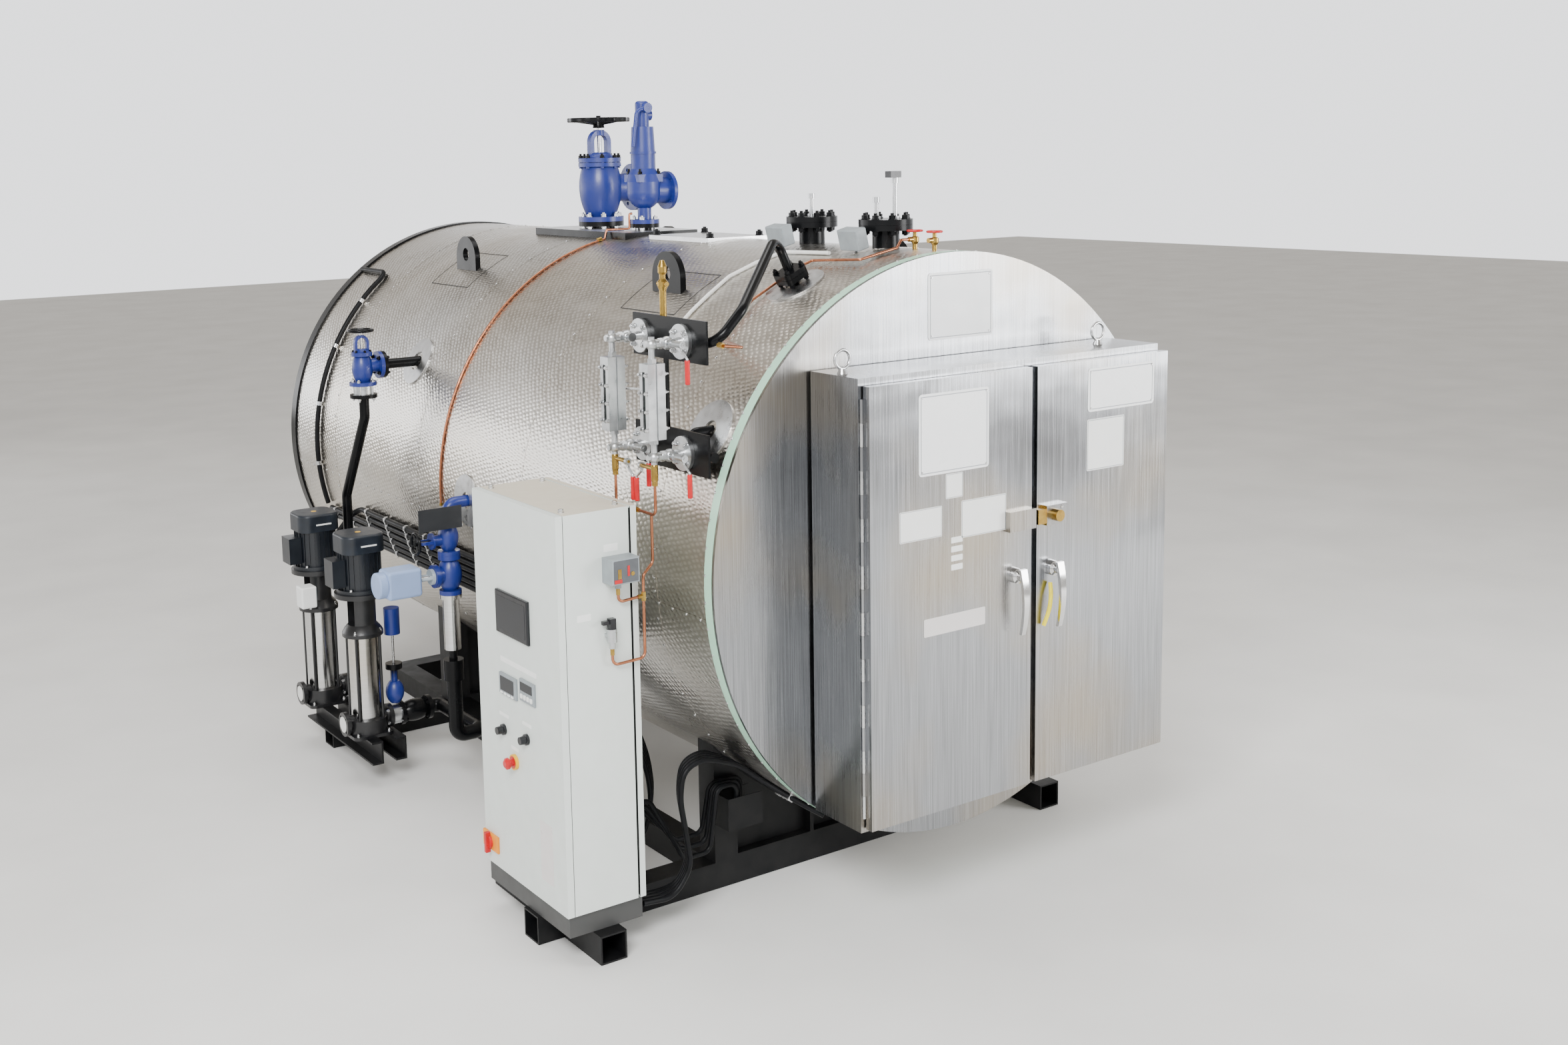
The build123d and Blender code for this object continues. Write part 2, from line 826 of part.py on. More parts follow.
# Crown valve: flanged globe body, jointed bonnet flange, arched yoke
def build_crown_valve():
    crown = crown_nozzle(crown_y, crown_nozzle_radius, crown_flange_radius, crown_flange_thickness,
                         crown_base - seat_gap)
    safety = crown_nozzle(safety_y, safety_neck, safety_flange_radius, safety_flange_thickness,
                          safety_base - seat_gap)
    write("crown_nozzles", Compound(children=[crown, safety]))
    top = crown_bonnet_low + crown_bonnet_thickness
    joint = crown_bonnet_low + crown_bonnet_thickness / 2
    gland = top + crown_gland_height
    profile = [
        (0, crown_base),
        (crown_flange_radius, crown_base),
        (crown_flange_radius, crown_base + crown_flange_thickness),
        (crown_neck, crown_base + crown_flange_thickness),
        (crown_shoulder, crown_bonnet_low, crown_bowl, crown_outlet_z),
        (crown_bonnet_radius, crown_bonnet_low),
        (crown_bonnet_radius, joint - crown_bonnet_joint / 2),
        (crown_shoulder, joint - crown_bonnet_joint / 2),
        (crown_shoulder, joint + crown_bonnet_joint / 2),
        (crown_bonnet_radius, joint + crown_bonnet_joint / 2),
        (crown_bonnet_radius, top),
        (crown_neck, top),
        (crown_gland_radius, gland, crown_neck * 0.9, (top + gland) / 2),
        (0, gland),
    ]
    body = turned(profile, Pos(0, crown_y, 0))
    reach = crown_outlet_reach
    z = crown_outlet_z
    neck = [(0, 0), (crown_bowl * 0.8, 0), (crown_neck, reach - crown_flange_thickness, crown_neck,
                                            reach / 2),
            (crown_outlet_flange, reach - crown_flange_thickness), (crown_outlet_flange, reach), (0, reach)]
    outlet = turned(neck, Plane(origin=(0, crown_y, z), z_dir=(1, 0, 0)))
    body += outlet
    body -= rod((reach - crown_bore * 2, crown_y, z), (reach + cut_overrun, crown_y, z), crown_bore)
    for hole in around((reach - crown_flange_thickness - cut_overrun, crown_y, z), (1, 0, 0),
                       crown_bolt_circle, 8,
                       crown_bolt_hole / 2, crown_flange_thickness + cut_overrun * 2):
        body -= hole
    for stud in around((0, crown_y, crown_bonnet_low - crown_stud), (0, 0, 1),
                       (crown_bonnet_radius + crown_shoulder) * 0.97, 8, crown_stud,
                       crown_bonnet_thickness + crown_stud * 2):
        body += stud
    yoke = arch(Pos(0, crown_y, top), crown_yoke_width, crown_yoke_rise, crown_yoke_arm, crown_yoke_depth)
    yoke += rod((0, crown_y, crown_yoke_top - crown_yoke_boss), (0, crown_y, crown_yoke_top), crown_yoke_boss)
    body += yoke
    body -= rod((0, crown_y, gland), (0, crown_y, crown_yoke_top + cut_overrun), crown_stem + running_gap)
    write("crown_valve_body", body)
    points = []
    for index in range(crown_wheel_waves * 2):
        turn = math.radians(index * 180 / crown_wheel_waves)
        far = crown_wheel_radius - (index % 2) * crown_wheel_wave
        points.append((far * math.cos(turn), far * math.sin(turn)))
    inner = crown_wheel_radius - crown_wheel_wave - crown_wheel_rim
    rim = extrude(make_face(Spline(*points, periodic=True)) - Circle(inner), amount=crown_wheel_rim / 2,
                  both=True)
    rim = fillet(rim.edges(), crown_wheel_rim * 0.25)
    low = -crown_wheel_dish - crown_stem
    hub = turned([(0, low), (crown_wheel_hub, low), (crown_wheel_hub * 0.7, crown_stem), (0, crown_stem)],
                 Pos(0, 0, 0))
    wheel = rim + hub
    for index in range(4):
        turn = math.radians((index + 0.3) * 90)
        far = inner + crown_wheel_rim / 3
        wheel += rod((0, 0, low / 2), (far * math.cos(turn), far * math.sin(turn), 0), crown_stem * 0.8)
    wheel = Pos(0, crown_y, crown_wheel_z) * wheel
    stem = rod((0, crown_y, gland + seat_gap), (0, crown_y, crown_wheel_z + crown_wheel_rim), crown_stem)
    write("crown_valve_wheel", stem + wheel)


# Safety valve with a square bonnet flange, a banded bonnet and an easing lever
def build_safety_valve():
    half = safety_square / 2
    step = safety_square_top + safety_bonnet_height * 0.12
    band = safety_bonnet_top - safety_band_rise
    profile = [
        (0, safety_base),
        (safety_flange_radius, safety_base),
        (safety_flange_radius, safety_base + safety_flange_thickness),
        (safety_neck, safety_base + safety_flange_thickness),
        (safety_neck, safety_outlet_z - safety_bowl),
        (safety_bowl, safety_outlet_z, safety_bowl * 0.85, safety_outlet_z - safety_bowl * 0.6),
        (safety_bowl, safety_square_low),
        (safety_bowl * 0.9, safety_square_top),
        (safety_bonnet_radius, step),
        (safety_bonnet_radius, band),
        (safety_bonnet_radius + safety_band, band),
        (safety_bonnet_radius + safety_band, band + safety_band * 2),
        (safety_bonnet_radius, band + safety_band * 2),
        (safety_bonnet_radius * 0.9, safety_bonnet_top),
        (safety_cap_radius, safety_bonnet_top),
        (safety_cap_radius, safety_cap_top - safety_cap_radius / 2),
        (safety_cap_radius / 2, safety_cap_top, safety_cap_radius * 0.87,
         safety_cap_top - safety_cap_radius * 0.13),
        (0, safety_cap_top),
    ]
    body = turned(profile, Pos(0, safety_y, 0))
    body += block((-half, half), (safety_y - half, safety_y + half), (safety_square_low, safety_square_top))
    reach = safety_outlet_reach
    z = safety_outlet_z
    body += rod((0, safety_y, z), (reach, safety_y, z), safety_outlet_bore + safety_flange_thickness)
    body += rod((reach - safety_flange_thickness, safety_y, z), (reach, safety_y, z), safety_outlet_flange)
    body -= rod((reach - safety_outlet_bore * 2, safety_y, z), (reach + cut_overrun, safety_y, z),
                safety_outlet_bore)
    for hole in around((reach - safety_flange_thickness - cut_overrun, safety_y, z), (1, 0, 0),
                       safety_bolt_circle, 4,
                       safety_bolt_hole / 2, safety_flange_thickness + cut_overrun * 2):
        body -= hole
    pivot_z = safety_cap_top - safety_cap_radius
    lever_y = safety_y - safety_cap_radius - running_gap
    body += rod((0, safety_y, pivot_z), (0, lever_y - safety_lever_width, pivot_z), safety_pivot)
    body += rod((0, safety_y, pivot_z - safety_cap_radius), (safety_cap_radius * 1.3, safety_y,
            pivot_z - safety_cap_radius),
                safety_cap_radius * 0.8)
    write("safety_valve_body", body)
    far = -safety_bonnet_radius - safety_lever_width
    middle = lever_y - safety_lever_width / 2
    lever = rod((0, lever_y, pivot_z), (0, lever_y - safety_lever_width, pivot_z), safety_lever_width)
    route = [(0, middle, pivot_z), (far * 0.7, middle, pivot_z - safety_lever_width / 2),
             (far, middle, pivot_z - safety_lever_drop)]
    lever += pipe(route, safety_lever_width / 2.5, safety_lever_width * 1.5)
    lever -= rod((0, safety_y, pivot_z), (0, lever_y - safety_lever_width * 2, pivot_z),
                 safety_pivot + pivot_gap)
    write("safety_valve_lever", lever)


# Feed stop valve, its check valve and the pipe into the shell
def build_feed_valve():
    inner = feed_x + feed_half_length
    gland = feed_bonnet + feed_bonnet_height * 0.25
    profile = [
        (0, feed_low),
        (feed_flange_radius, feed_low),
        (feed_flange_radius, feed_low + feed_flange_thickness),
        (feed_body * 0.8, feed_low + feed_flange_thickness),
        (feed_body * 0.85, feed_bonnet - feed_flange_thickness, feed_body * 1.2, feed_z),
        (feed_bonnet_radius, feed_bonnet - feed_flange_thickness),
        (feed_bonnet_radius, feed_bonnet),
        (feed_stem * 3, gland, feed_body * 0.8, feed_bonnet + feed_stem),
        (0, gland),
    ]
    body = turned(profile, Pos(feed_x, feed_y, 0))
    body += rod((feed_x, feed_y, feed_z), (inner, feed_y, feed_z), feed_body * 0.8)
    body += rod((inner - feed_flange_thickness, feed_y, feed_z), (inner, feed_y, feed_z), feed_flange_radius)
    body += arch(Pos(feed_x, feed_y, feed_bonnet), feed_yoke_width, feed_yoke_height, feed_yoke_arm,
                 feed_yoke_depth)
    body += rod((feed_x, feed_y, feed_yoke_top - feed_yoke_arm), (feed_x, feed_y, feed_yoke_top),
                feed_yoke_arm * 1.2)
    body -= rod((feed_x, feed_y, gland), (feed_x, feed_y, feed_yoke_top + cut_overrun),
                feed_stem + running_gap)
    write("feed_valve_body", body)
    wheel = small_wheel((feed_x, feed_y, feed_wheel_z), (0, 0, 1), feed_wheel_radius, feed_wheel_rim,
                        feed_stem * 2, 4)
    wheel += rod((feed_x, feed_y, gland + seat_gap), (feed_x, feed_y, feed_wheel_z + feed_wheel_rim),
                 feed_stem)
    write("feed_valve_wheel", wheel)
    start = inner + seat_gap
    line = rod((start, feed_y, feed_z), (start + collar_radius + feed_stand_off, feed_y, feed_z),
               feed_pipe_radius)
    line += rod((start, feed_y, feed_z), (start + feed_flange_thickness, feed_y, feed_z), feed_flange_radius)
    line -= shell_core(shell_outside, feed_y - collar_radius, feed_y + collar_radius)
    write("feed_pipe", line)


# Wafer check valve held between two flanges by its studs
def wafer(centre, way):
    body = disc(centre, way, check_radius * 0.82, check_thickness)
    studs = around(centre, way, check_radius * 2 - check_stud * 3, 4, check_stud, check_thickness)
    for stud in studs:
        body += stud
    return body


# Collars that cover the shell's openings
def build_collars():
    places = [(feed_y, feed_z, feed_pipe_radius * 2), (gauge_places[1], lower_nozzle_z,
                                                       gauge_pipe_radius * 2),
              (balance_nozzle_y, shell_point(balance_nozzle_angle, 0, 0)[2], gauge_pipe_radius * 2),
              (station_y, inlet_z, inlet_pipe_radius * 1.5)]
    collars = []
    for y, height, hole in places:
        turn = math.pi - math.asin((height - axis_height) / shell_radius)
        way = (math.cos(turn), math.sin(turn))
        start = (way[0] * shell_radius * 0.8, y, axis_height + way[1] * shell_radius * 0.8)
        reach = shell_outside + collar_rise
        end = (way[0] * reach * 1.01, y, axis_height + way[1] * reach * 1.01)
        ring = rod(start, end, collar_radius) & shell_core(reach, y - collar_radius, y + collar_radius)
        ring -= shell_core(shell_outside, y - collar_radius * 2, y + collar_radius * 2)
        ring -= rod(start, (end[0] * 1.1, y, axis_height + (end[2] - axis_height) * 1.1), hole)
        collars.append(ring)
    write("shell_collars", Compound(children=collars))


# Vertical multistage pumps on their channels, and the pipework on their discharge sides
def build_pumps():
    channels = []
    for near in (channel_right, channel_right + channel_second_gap + channel_flange):
        x_range = (near - channel_flange, near)
        channel = block(x_range, (channel_front, channel_rear), (channel_low, channel_top))
        channel -= block((x_range[0] - cut_overrun, near - channel_wall),
                         (channel_front - cut_overrun, channel_rear + cut_overrun),
                         (channel_low + channel_wall, channel_top - channel_wall))
        channels.append(channel)
    write("pump_channel", Compound(children=channels))
    half = pump_base_size / 2
    heads, sleeves, stools, motors = [], [], [], []
    for y in pump_places:
        core = pump_top_flange_radius
        foot = extrude(Pos(pump_x, y, base_low) * RectangleRounded(pump_base_size, pump_base_size,
                pump_base_corner),
                       amount=pump_base_plate)
        head = foot + rod((pump_x, y, base_low), (pump_x, y, base_top), core)
        reach = pump_flange_reach
        head += rod((pump_x - reach, y, port_z), (pump_x + reach, y, port_z), pump_neck)
        for side in (-1, 1):
            head += disc((pump_x + side * reach, y, port_z), (-side, 0, 0), pump_flange_radius,
                         pump_flange_thickness)
        for side in (-1, 1):
            head -= disc((pump_x + side * (reach + cut_overrun), y, port_z), (-side, 0, 0), pump_port,
                         pump_port * 2 + cut_overrun)
        for hole in around((pump_x - reach - cut_overrun, y, port_z), (1, 0, 0), pump_bolt_circle, 4,
                           pump_bolt_hole / 2, pump_flange_thickness + cut_overrun):
            head -= hole
        head -= rod((pump_x, y, base_top), (pump_x, y, base_top + pump_flange_reach),
                    pump_sleeve_radius + running_gap)
        heads.append(head)
        sleeve = rod((pump_x, y, sleeve_low), (pump_x, y, sleeve_top), pump_sleeve_radius)
        sleeves.append(sleeve)
        flange_top = stool_low + pump_top_flange_height
        plate_low = stool_top - pump_stool_plate
        stool = turned([
            (0, stool_low),
            (core, stool_low),
            (core, flange_top - pump_stool_plate),
            (pump_stool_radius, flange_top, pump_stool_radius * 1.15, flange_top - pump_stool_plate * 0.3),
            (pump_stool_radius, plate_low),
            (pump_stool_plate_radius, plate_low + pump_stool_plate * 0.4),
            (pump_stool_plate_radius, stool_top),
            (0, stool_top),
        ], Pos(pump_x, y, 0))
        window = pump_stool_radius * pump_window_share
        stool -= block((pump_x - pump_stool_radius * 2, pump_x + pump_stool_radius * 2),
                       (y - window, y + window),
                       (flange_top, plate_low))
        stool += rod((pump_x, y, flange_top), (pump_x, y, plate_low), pump_stool_radius * 0.3)
        for bar in around((pump_x, y, base_top), (0, 0, 1), pump_tie_circle, 4, pump_tie_rod,
                          stool_low - base_top):
            stool += bar
        stools.append(stool)
        motor = rod((pump_x, y, motor_low), (pump_x, y, motor_top), motor_radius - motor_rib)
        for index in range(motor_ribs):
            turn = (index + 0.5) * 360 / motor_ribs
            rib = block((0, motor_radius), (-motor_rib / 4, motor_rib / 4), (motor_low, motor_top))
            motor += Pos(pump_x, y, 0) * Rot(0, 0, turn) * rib
        motor += rod((pump_x, y, motor_low), (pump_x, y, motor_low + pump_stool_plate / 2),
                     pump_stool_plate_radius * 0.9)
        cover = extrude(Pos(pump_x, y, motor_top) * RectangleRounded(fan_cover_width, fan_cover_width,
                fan_cover_corner),
                        amount=fan_cover_height)
        cover = fillet(cover.edges().group_by(Axis.Z)[-1], motor_rib * 2)
        motor += cover
        box_right = pump_x - motor_radius + motor_rib * 2
        motor += block((box_right - terminal_box_depth, box_right),
                       (y - terminal_box_width / 2, y + terminal_box_width / 2),
                       (motor_low + pump_stool_plate, motor_low + pump_stool_plate + terminal_box_height))
        motors.append(motor)
    write("pump_heads", Compound(children=heads))
    write("pump_sleeves", Compound(children=sleeves))
    write("pump_stools", Compound(children=stools))
    write("pump_motors", Compound(children=motors))


def riser():
    far = pump_places[1]
    out_x = discharge_x + riser_out
    end_z = feed_low - check_thickness - seat_gap * 2
    route = [(discharge_x, far, port_z), (out_x, far, port_z), (out_x, far, port_z + riser_turn_rise),
             (feed_x, feed_y, end_z - riser_top_straight), (feed_x, feed_y, end_z)]
    line = pipe(route, feed_pipe_radius, riser_bend)
    line += disc((discharge_x, far, port_z), (1, 0, 0), pump_flange_radius, pump_flange_thickness)
    line += disc((feed_x, feed_y, end_z), (0, 0, -1), feed_flange_radius, feed_flange_thickness)
    return line


# Black pipework: the riser, the near pump's discharge valve and its line to the control station
def build_pipework():
    near = pump_places[0]
    start = discharge_x + check_thickness + seat_gap
    end = start + discharge_reach
    thick = pump_flange_thickness
    profile = [(0, 0), (pump_flange_radius, 0), (pump_flange_radius, thick), (pump_neck, thick),
               (pump_neck, discharge_reach - thick, discharge_body * 1.1, discharge_reach / 2),
               (pump_flange_radius, discharge_reach - thick), (pump_flange_radius, discharge_reach),
               (0, discharge_reach)]
    valve = turned(profile, Plane(origin=(start, near, port_z), z_dir=(1, 0, 0)))
    turn_x = end + station_run
    collar_low = port_z + station_collar_rise
    collar_high = collar_low + station_collar_height
    route = [(end, near, port_z), (turn_x, near, port_z), (turn_x, station_y, port_z),
             (station_x, station_y, port_z), (station_x, station_y, collar_low)]
    line = valve + pipe(route, station_pipe_radius, station_bend)
    line += rod((station_x, station_y, collar_low), (station_x, station_y, collar_high), station_collar)
    top = control_low - seat_gap
    line += rod((station_x, station_y, collar_high), (station_x, station_y, tube_low), station_fitting)
    write("riser_pipe", Compound(children=[riser(), line]))
    tube = rod((station_x, station_y, tube_low + seat_gap), (station_x, station_y,
            top - station_flange_thickness),
               station_tube)
    tube += rod((station_x, station_y, top - station_flange_thickness), (station_x, station_y, top),
                station_flange)
    wafers = [
        wafer((discharge_x, near, port_z), (1, 0, 0)),
        wafer((feed_x, feed_y, feed_low - seat_gap), (0, 0, -1)),
        tube,
    ]
    write("check_valves", Compound(children=wafers))


# Blue valves: control valve, hand valve and the line into the shell, and the bypass beside the near pump
def build_blue_valves():
    x, y = station_x, station_y
    thick = station_flange_thickness
    body = turned([
        (0, control_low),
        (station_flange, control_low),
        (station_flange, control_low + thick),
        (control_bonnet * 0.6, control_low + thick),
        (control_bonnet * 0.6, control_top - thick, control_bowl, control_z),
        (station_flange, control_top - thick),
        (station_flange, control_top),
        (0, control_top),
    ], Pos(x, y, 0))
    bonnet_x = x - control_bonnet_reach
    body += rod((x, y, control_z), (bonnet_x, y, control_z), control_bonnet * 0.75)
    body += rod((bonnet_x + thick, y, control_z), (bonnet_x, y, control_z), control_bonnet)
    upper = turned([
        (0, hand_low),
        (station_flange, hand_low),
        (station_flange, hand_low + thick),
        (hand_valve_neck, hand_low + thick),
        (inlet_pipe_radius, hand_top, hand_valve_bowl, hand_z),
        (inlet_pipe_radius, inlet_z - inlet_elbow),
        (0, inlet_z - inlet_elbow),
    ], Pos(x, y, 0))
    neck_x = x - hand_valve_reach
    upper += rod((x, y, hand_z), (neck_x, y, hand_z), hand_valve_neck)
    upper += rod((neck_x + thick / 2, y, hand_z), (neck_x, y, hand_z), hand_valve_neck * 1.5)
    yoke = arch(Plane(origin=(neck_x, y, hand_z), x_dir=(0, 1, 0), z_dir=(-1, 0, 0)).location,
                hand_valve_neck * 2.4,
                hand_yoke_length, thick / 3, thick * 0.7)
    upper += yoke
    upper -= rod((neck_x, y, hand_z), (neck_x - hand_yoke_length - cut_overrun, y, hand_z),
                 hand_wheel_rim + running_gap)
    shell_x = -side_on_shell(inlet_z)
    route = [(x, y, inlet_z - inlet_elbow * 1.5), (x, y, inlet_z), (shell_x + collar_radius, y, inlet_z)]
    line = pipe(route, inlet_pipe_radius, inlet_elbow)
    line += rod((x, y, hand_top + inlet_pipe_radius), (x, y, hand_top + inlet_pipe_radius + thick),
                station_flange)
    upper = upper + line - shell_core(shell_outside, y - collar_radius, y + collar_radius)
    near = pump_places[0]
    bx = discharge_x + bypass_offset
    low = port_z + pump_flange_radius + seat_gap
    bypass = turned([
        (0, low),
        (bypass_neck * 1.5, low),
        (bypass_neck * 1.5, low + bypass_body_height, bypass_body, low + bypass_body_height / 2),
        (bypass_neck, low + bypass_body_height),
        (bypass_neck, port_z + bypass_disc_rise),
        (bypass_disc, port_z + bypass_disc_rise),
        (bypass_disc, port_z + bypass_disc_rise + bypass_disc_thickness),
        (bypass_rod, port_z + bypass_disc_rise + bypass_disc_thickness),
        (bypass_rod, port_z + bypass_cylinder_rise),
        (bypass_cylinder, port_z + bypass_cylinder_rise),
        (bypass_cylinder, port_z + bypass_cylinder_rise + bypass_cylinder_height),
        (0, port_z + bypass_cylinder_rise + bypass_cylinder_height),
    ], Pos(bx, near, 0))
    write("blue_valves", Compound(children=[body, upper, bypass]))
    centre = neck_x - hand_yoke_length - running_gap - hand_wheel_rim
    wheel = small_wheel((centre, y, hand_z), (-1, 0, 0), hand_wheel_radius, hand_wheel_rim,
                        hand_wheel_rim * 2, 4)
    wheel += rod((neck_x - seat_gap, y, hand_z), (centre - hand_wheel_rim, y, hand_z), hand_wheel_rim)
    write("control_wheel", wheel)


# Actuator of the control valve with its open yoke, and the plate that shields the valves
def build_actuator():
    x = station_x - control_bonnet_reach - seat_gap
    y, z = station_y, control_z
    back = x - actuator_yoke_length
    body = rod((x, y, z), (x - actuator_corner, y, z), actuator_yoke)
    for side in (-1, 1):
        body += rod((x, y + side * actuator_yoke * 0.75, z), (back, y + side * actuator_yoke * 0.75, z),
                    actuator_corner / 2)
    body += rod((x, y, z), (back, y, z), actuator_corner / 2)
    case = block((back - actuator_length, back), (y - actuator_width / 2, y + actuator_width / 2),
                 (z - actuator_height / 2, z + actuator_height / 2))
    case = fillet(case.edges(), actuator_corner)
    cap = rod((back - actuator_length - actuator_cap_length, y, z), (back - actuator_length, y, z),
              actuator_cap)
    cap = fillet(cap.edges().group_by(Axis.X)[0], actuator_corner / 2)
    body += case + cap
    write("control_actuator", body)


# Conduits clipped to the lower left of the shell, and one round its rear
def clip(y, angle):
    centre = shell_point(angle, y - conduit_clip_width / 2, conduit_reach - shell_radius)
    far = shell_point(angle, y + conduit_clip_width / 2, conduit_reach - shell_radius)
    ring = rod(centre, far, conduit_radius + seat_gap + conduit_clip_lift)
    return ring - rod(centre, far, conduit_radius + seat_gap)


def build_conduits():
    lift = conduit_reach - shell_radius
    lines, clips = [], []
    for index in range(conduit_count):
        angle = conduit_first_angle + index * conduit_pitch_angle
        long = index in (2, 3)
        rear = conduit_long_rear if long else conduit_rear
        x, y, z = shell_point(angle, rear, lift)
        route = [(x, y, z), (x, conduit_front, z), (cabinet_right + seat_gap, conduit_front, z)]
        if index == 0:
            motor_y = pump_places[0] + motor_radius
            motor_z = motor_low + motor_height * 0.6
            drop = [(pump_x + motor_radius * 0.3, motor_y - motor_rib, motor_z),
                    (pump_x + motor_radius * 0.3, motor_y + conduit_bend * 2, motor_z),
                    (x - conduit_bend * 2.4, y + conduit_bend * 0.4, z - conduit_bend * 1.6),
                    (x, y + conduit_bend * 2, z)]
            route = drop + route[1:]
        lines.append(pipe(route, conduit_radius, conduit_bend * 0.8))
        places = conduit_clip_places + (conduit_long_clip_places if long else [])
        for place in places:
            clips.append(clip(place, angle))
    ring_lift = conduit_clip_lift + rear_conduit_radius + seat_gap
    last = conduit_first_angle + 2 * conduit_pitch_angle
    start = rear_conduit_top_angle + 6
    arc = shell_arc(rear_conduit_y, start, last - 1, ring_lift, rear_conduit_radius)
    top = [shell_point(start, rear_conduit_y, ring_lift), shell_point(rear_conduit_top_angle, rear_conduit_y,
            ring_lift),
           shell_point(rear_conduit_top_angle, rear_conduit_end, ring_lift)]
    lines.append(arc + pipe(top, rear_conduit_radius, conduit_bend))
    for angle in (138, 152, 168, 184):
        inner = shell_arc(rear_conduit_y, angle, angle + 1, ring_lift, rear_conduit_radius + seat_gap)
        outer = shell_arc(rear_conduit_y, angle, angle + 1, ring_lift,
                          rear_conduit_radius + conduit_clip_lift)
        clips.append(outer - inner)
    lines += cables()
    write("cable_conduits", Compound(children=lines))
    write("conduit_clips", Compound(children=clips))


# Cables from the cabinet's back that hang down and rise into the trough
def cables():
    runs = []
    for index in range(cable_count):
        y = -saddle_post / 2 - trough_depth / 2 + (index - 1) * cable_pitch
        high = cable_high - index * cable_pitch
        inner = -rail_outer + trough_width / 2 + (index - 1) * cable_pitch
        floor = skid_top + trough_rise + trough_wall + cable_radius
        over = floor + trough_height + cable_bend / 2
        hang = cable_low + index * cable_pitch
        outer = -rail_outer - cable_bend
        route = [(cabinet_right + seat_gap, y, high), (cabinet_right + cable_bend * 1.5, y, high),
                 (cabinet_right + cable_bend * 3.5, y, hang), (outer, y, hang),
                 (outer + cable_bend / 2, y, over),
                 (inner, y, over), (inner, y, floor)]
        runs.append(pipe(route, cable_radius, cable_bend * 0.5))
    return runs


# One knuckled hinge side: the leaf on the door, or the leaf on the housing with the pin
def hinge_side(side, on_door):
    edge = door_edge(side)
    axis_x = edge + side * (hinge_knuckle + hinge_margin)
    axis_y = body_front - seat_gap - hinge_knuckle
    if side < 0:
        low, high = door_low + piano_hinge_inset, door_high - piano_hinge_inset
        pitch = (high - low) / piano_hinge_knuckles
        ends = [(low + pitch * index,
                 low + pitch * (index + 1) - running_gap) for index in range(piano_hinge_knuckles)]
        leaves = [(low, high - running_gap)]
    else:
        length = door_high - door_low
        ends = [(door_low + length * start, door_low + length * end) for start, end in barrel_hinge_shares]
        leaves = ends
    pieces = []
    for leaf_low, leaf_high in leaves:
        if on_door:
            leaf = block(sorted((axis_x, edge - side * door_skin)),
                         (axis_y - hinge_knuckle, axis_y - hinge_knuckle + hinge_leaf), (leaf_low, leaf_high))
        else:
            body_edge = enclosure_left if side < 0 else enclosure_right
            leaf = block(sorted((axis_x, body_edge - side * enclosure_lip * 0.8)),
                         (axis_y + hinge_knuckle - hinge_leaf, axis_y + hinge_knuckle), (leaf_low, leaf_high))
        for start, end in ends:
            if start < leaf_low or end > leaf_high:
                continue
            middle = (start + end) / 2
            span = (middle + running_gap / 2, end) if on_door else (start, middle - running_gap / 2)
            knuckle = rod((axis_x, axis_y, span[0]), (axis_x, axis_y, span[1]), hinge_knuckle)
            if on_door:
                gap_span = (start - running_gap, middle + running_gap / 2)
            else:
                gap_span = (middle - running_gap / 2, end + running_gap)
            leaf -= rod((axis_x, axis_y, gap_span[0]), (axis_x, axis_y, gap_span[1]),
                        hinge_knuckle + running_gap)
            leaf += knuckle
            pin = hinge_pin + pivot_gap if on_door else hinge_pin
            core = rod((axis_x, axis_y, span[0]), (axis_x, axis_y, end), pin)
            leaf = leaf - core if on_door else leaf + core
        pieces.append(leaf)
    return pieces


def door_edge(side):
    return enclosure_left + door_left_inset if side < 0 else enclosure_right + door_right_overhang


# Door handle: a boss and a bowed lever that narrows towards its tip
def door_handle(x):
    front = door_front - seat_gap - lever_stand_off
    z = lever_height
    tip = z + lever_boss - lever_length
    bow = [ThreePointArc((front, z + lever_boss), (front - lever_bow, (z + tip) / 2), (front, tip)),
           Line((front, tip), (front + lever_thickness, tip)),
           ThreePointArc((front + lever_thickness, tip), (front + lever_thickness - lever_bow, (z + tip) / 2),
                         (front + lever_thickness, z + lever_boss)),
           Line((front + lever_thickness, z + lever_boss), (front, z + lever_boss))]
    side_view = Pos(x, 0, 0) * extrude(Plane.YZ * make_face(bow), amount=lever_width, both=True)
    taper = Polyline((-lever_width / 2, z + lever_boss), (lever_width / 2, z + lever_boss),
                     (lever_tip_width / 2, tip), (-lever_tip_width / 2, tip), close=True)
    front_view = Pos(x, front, 0) * extrude(Plane.XZ * make_face(taper), amount=lever_bow * 3, both=True)
    boss = turned([(0, 0), (lever_boss, 0), (lever_boss, lever_stand_off * 0.4),
                   (lever_boss * 0.6, lever_stand_off * 0.55), (lever_boss * 0.6, lever_stand_off),
                   (0, lever_stand_off)], Plane(origin=(x, door_front - seat_gap, z), z_dir=(0, -1, 0)))
    return boss + (side_view & front_view)


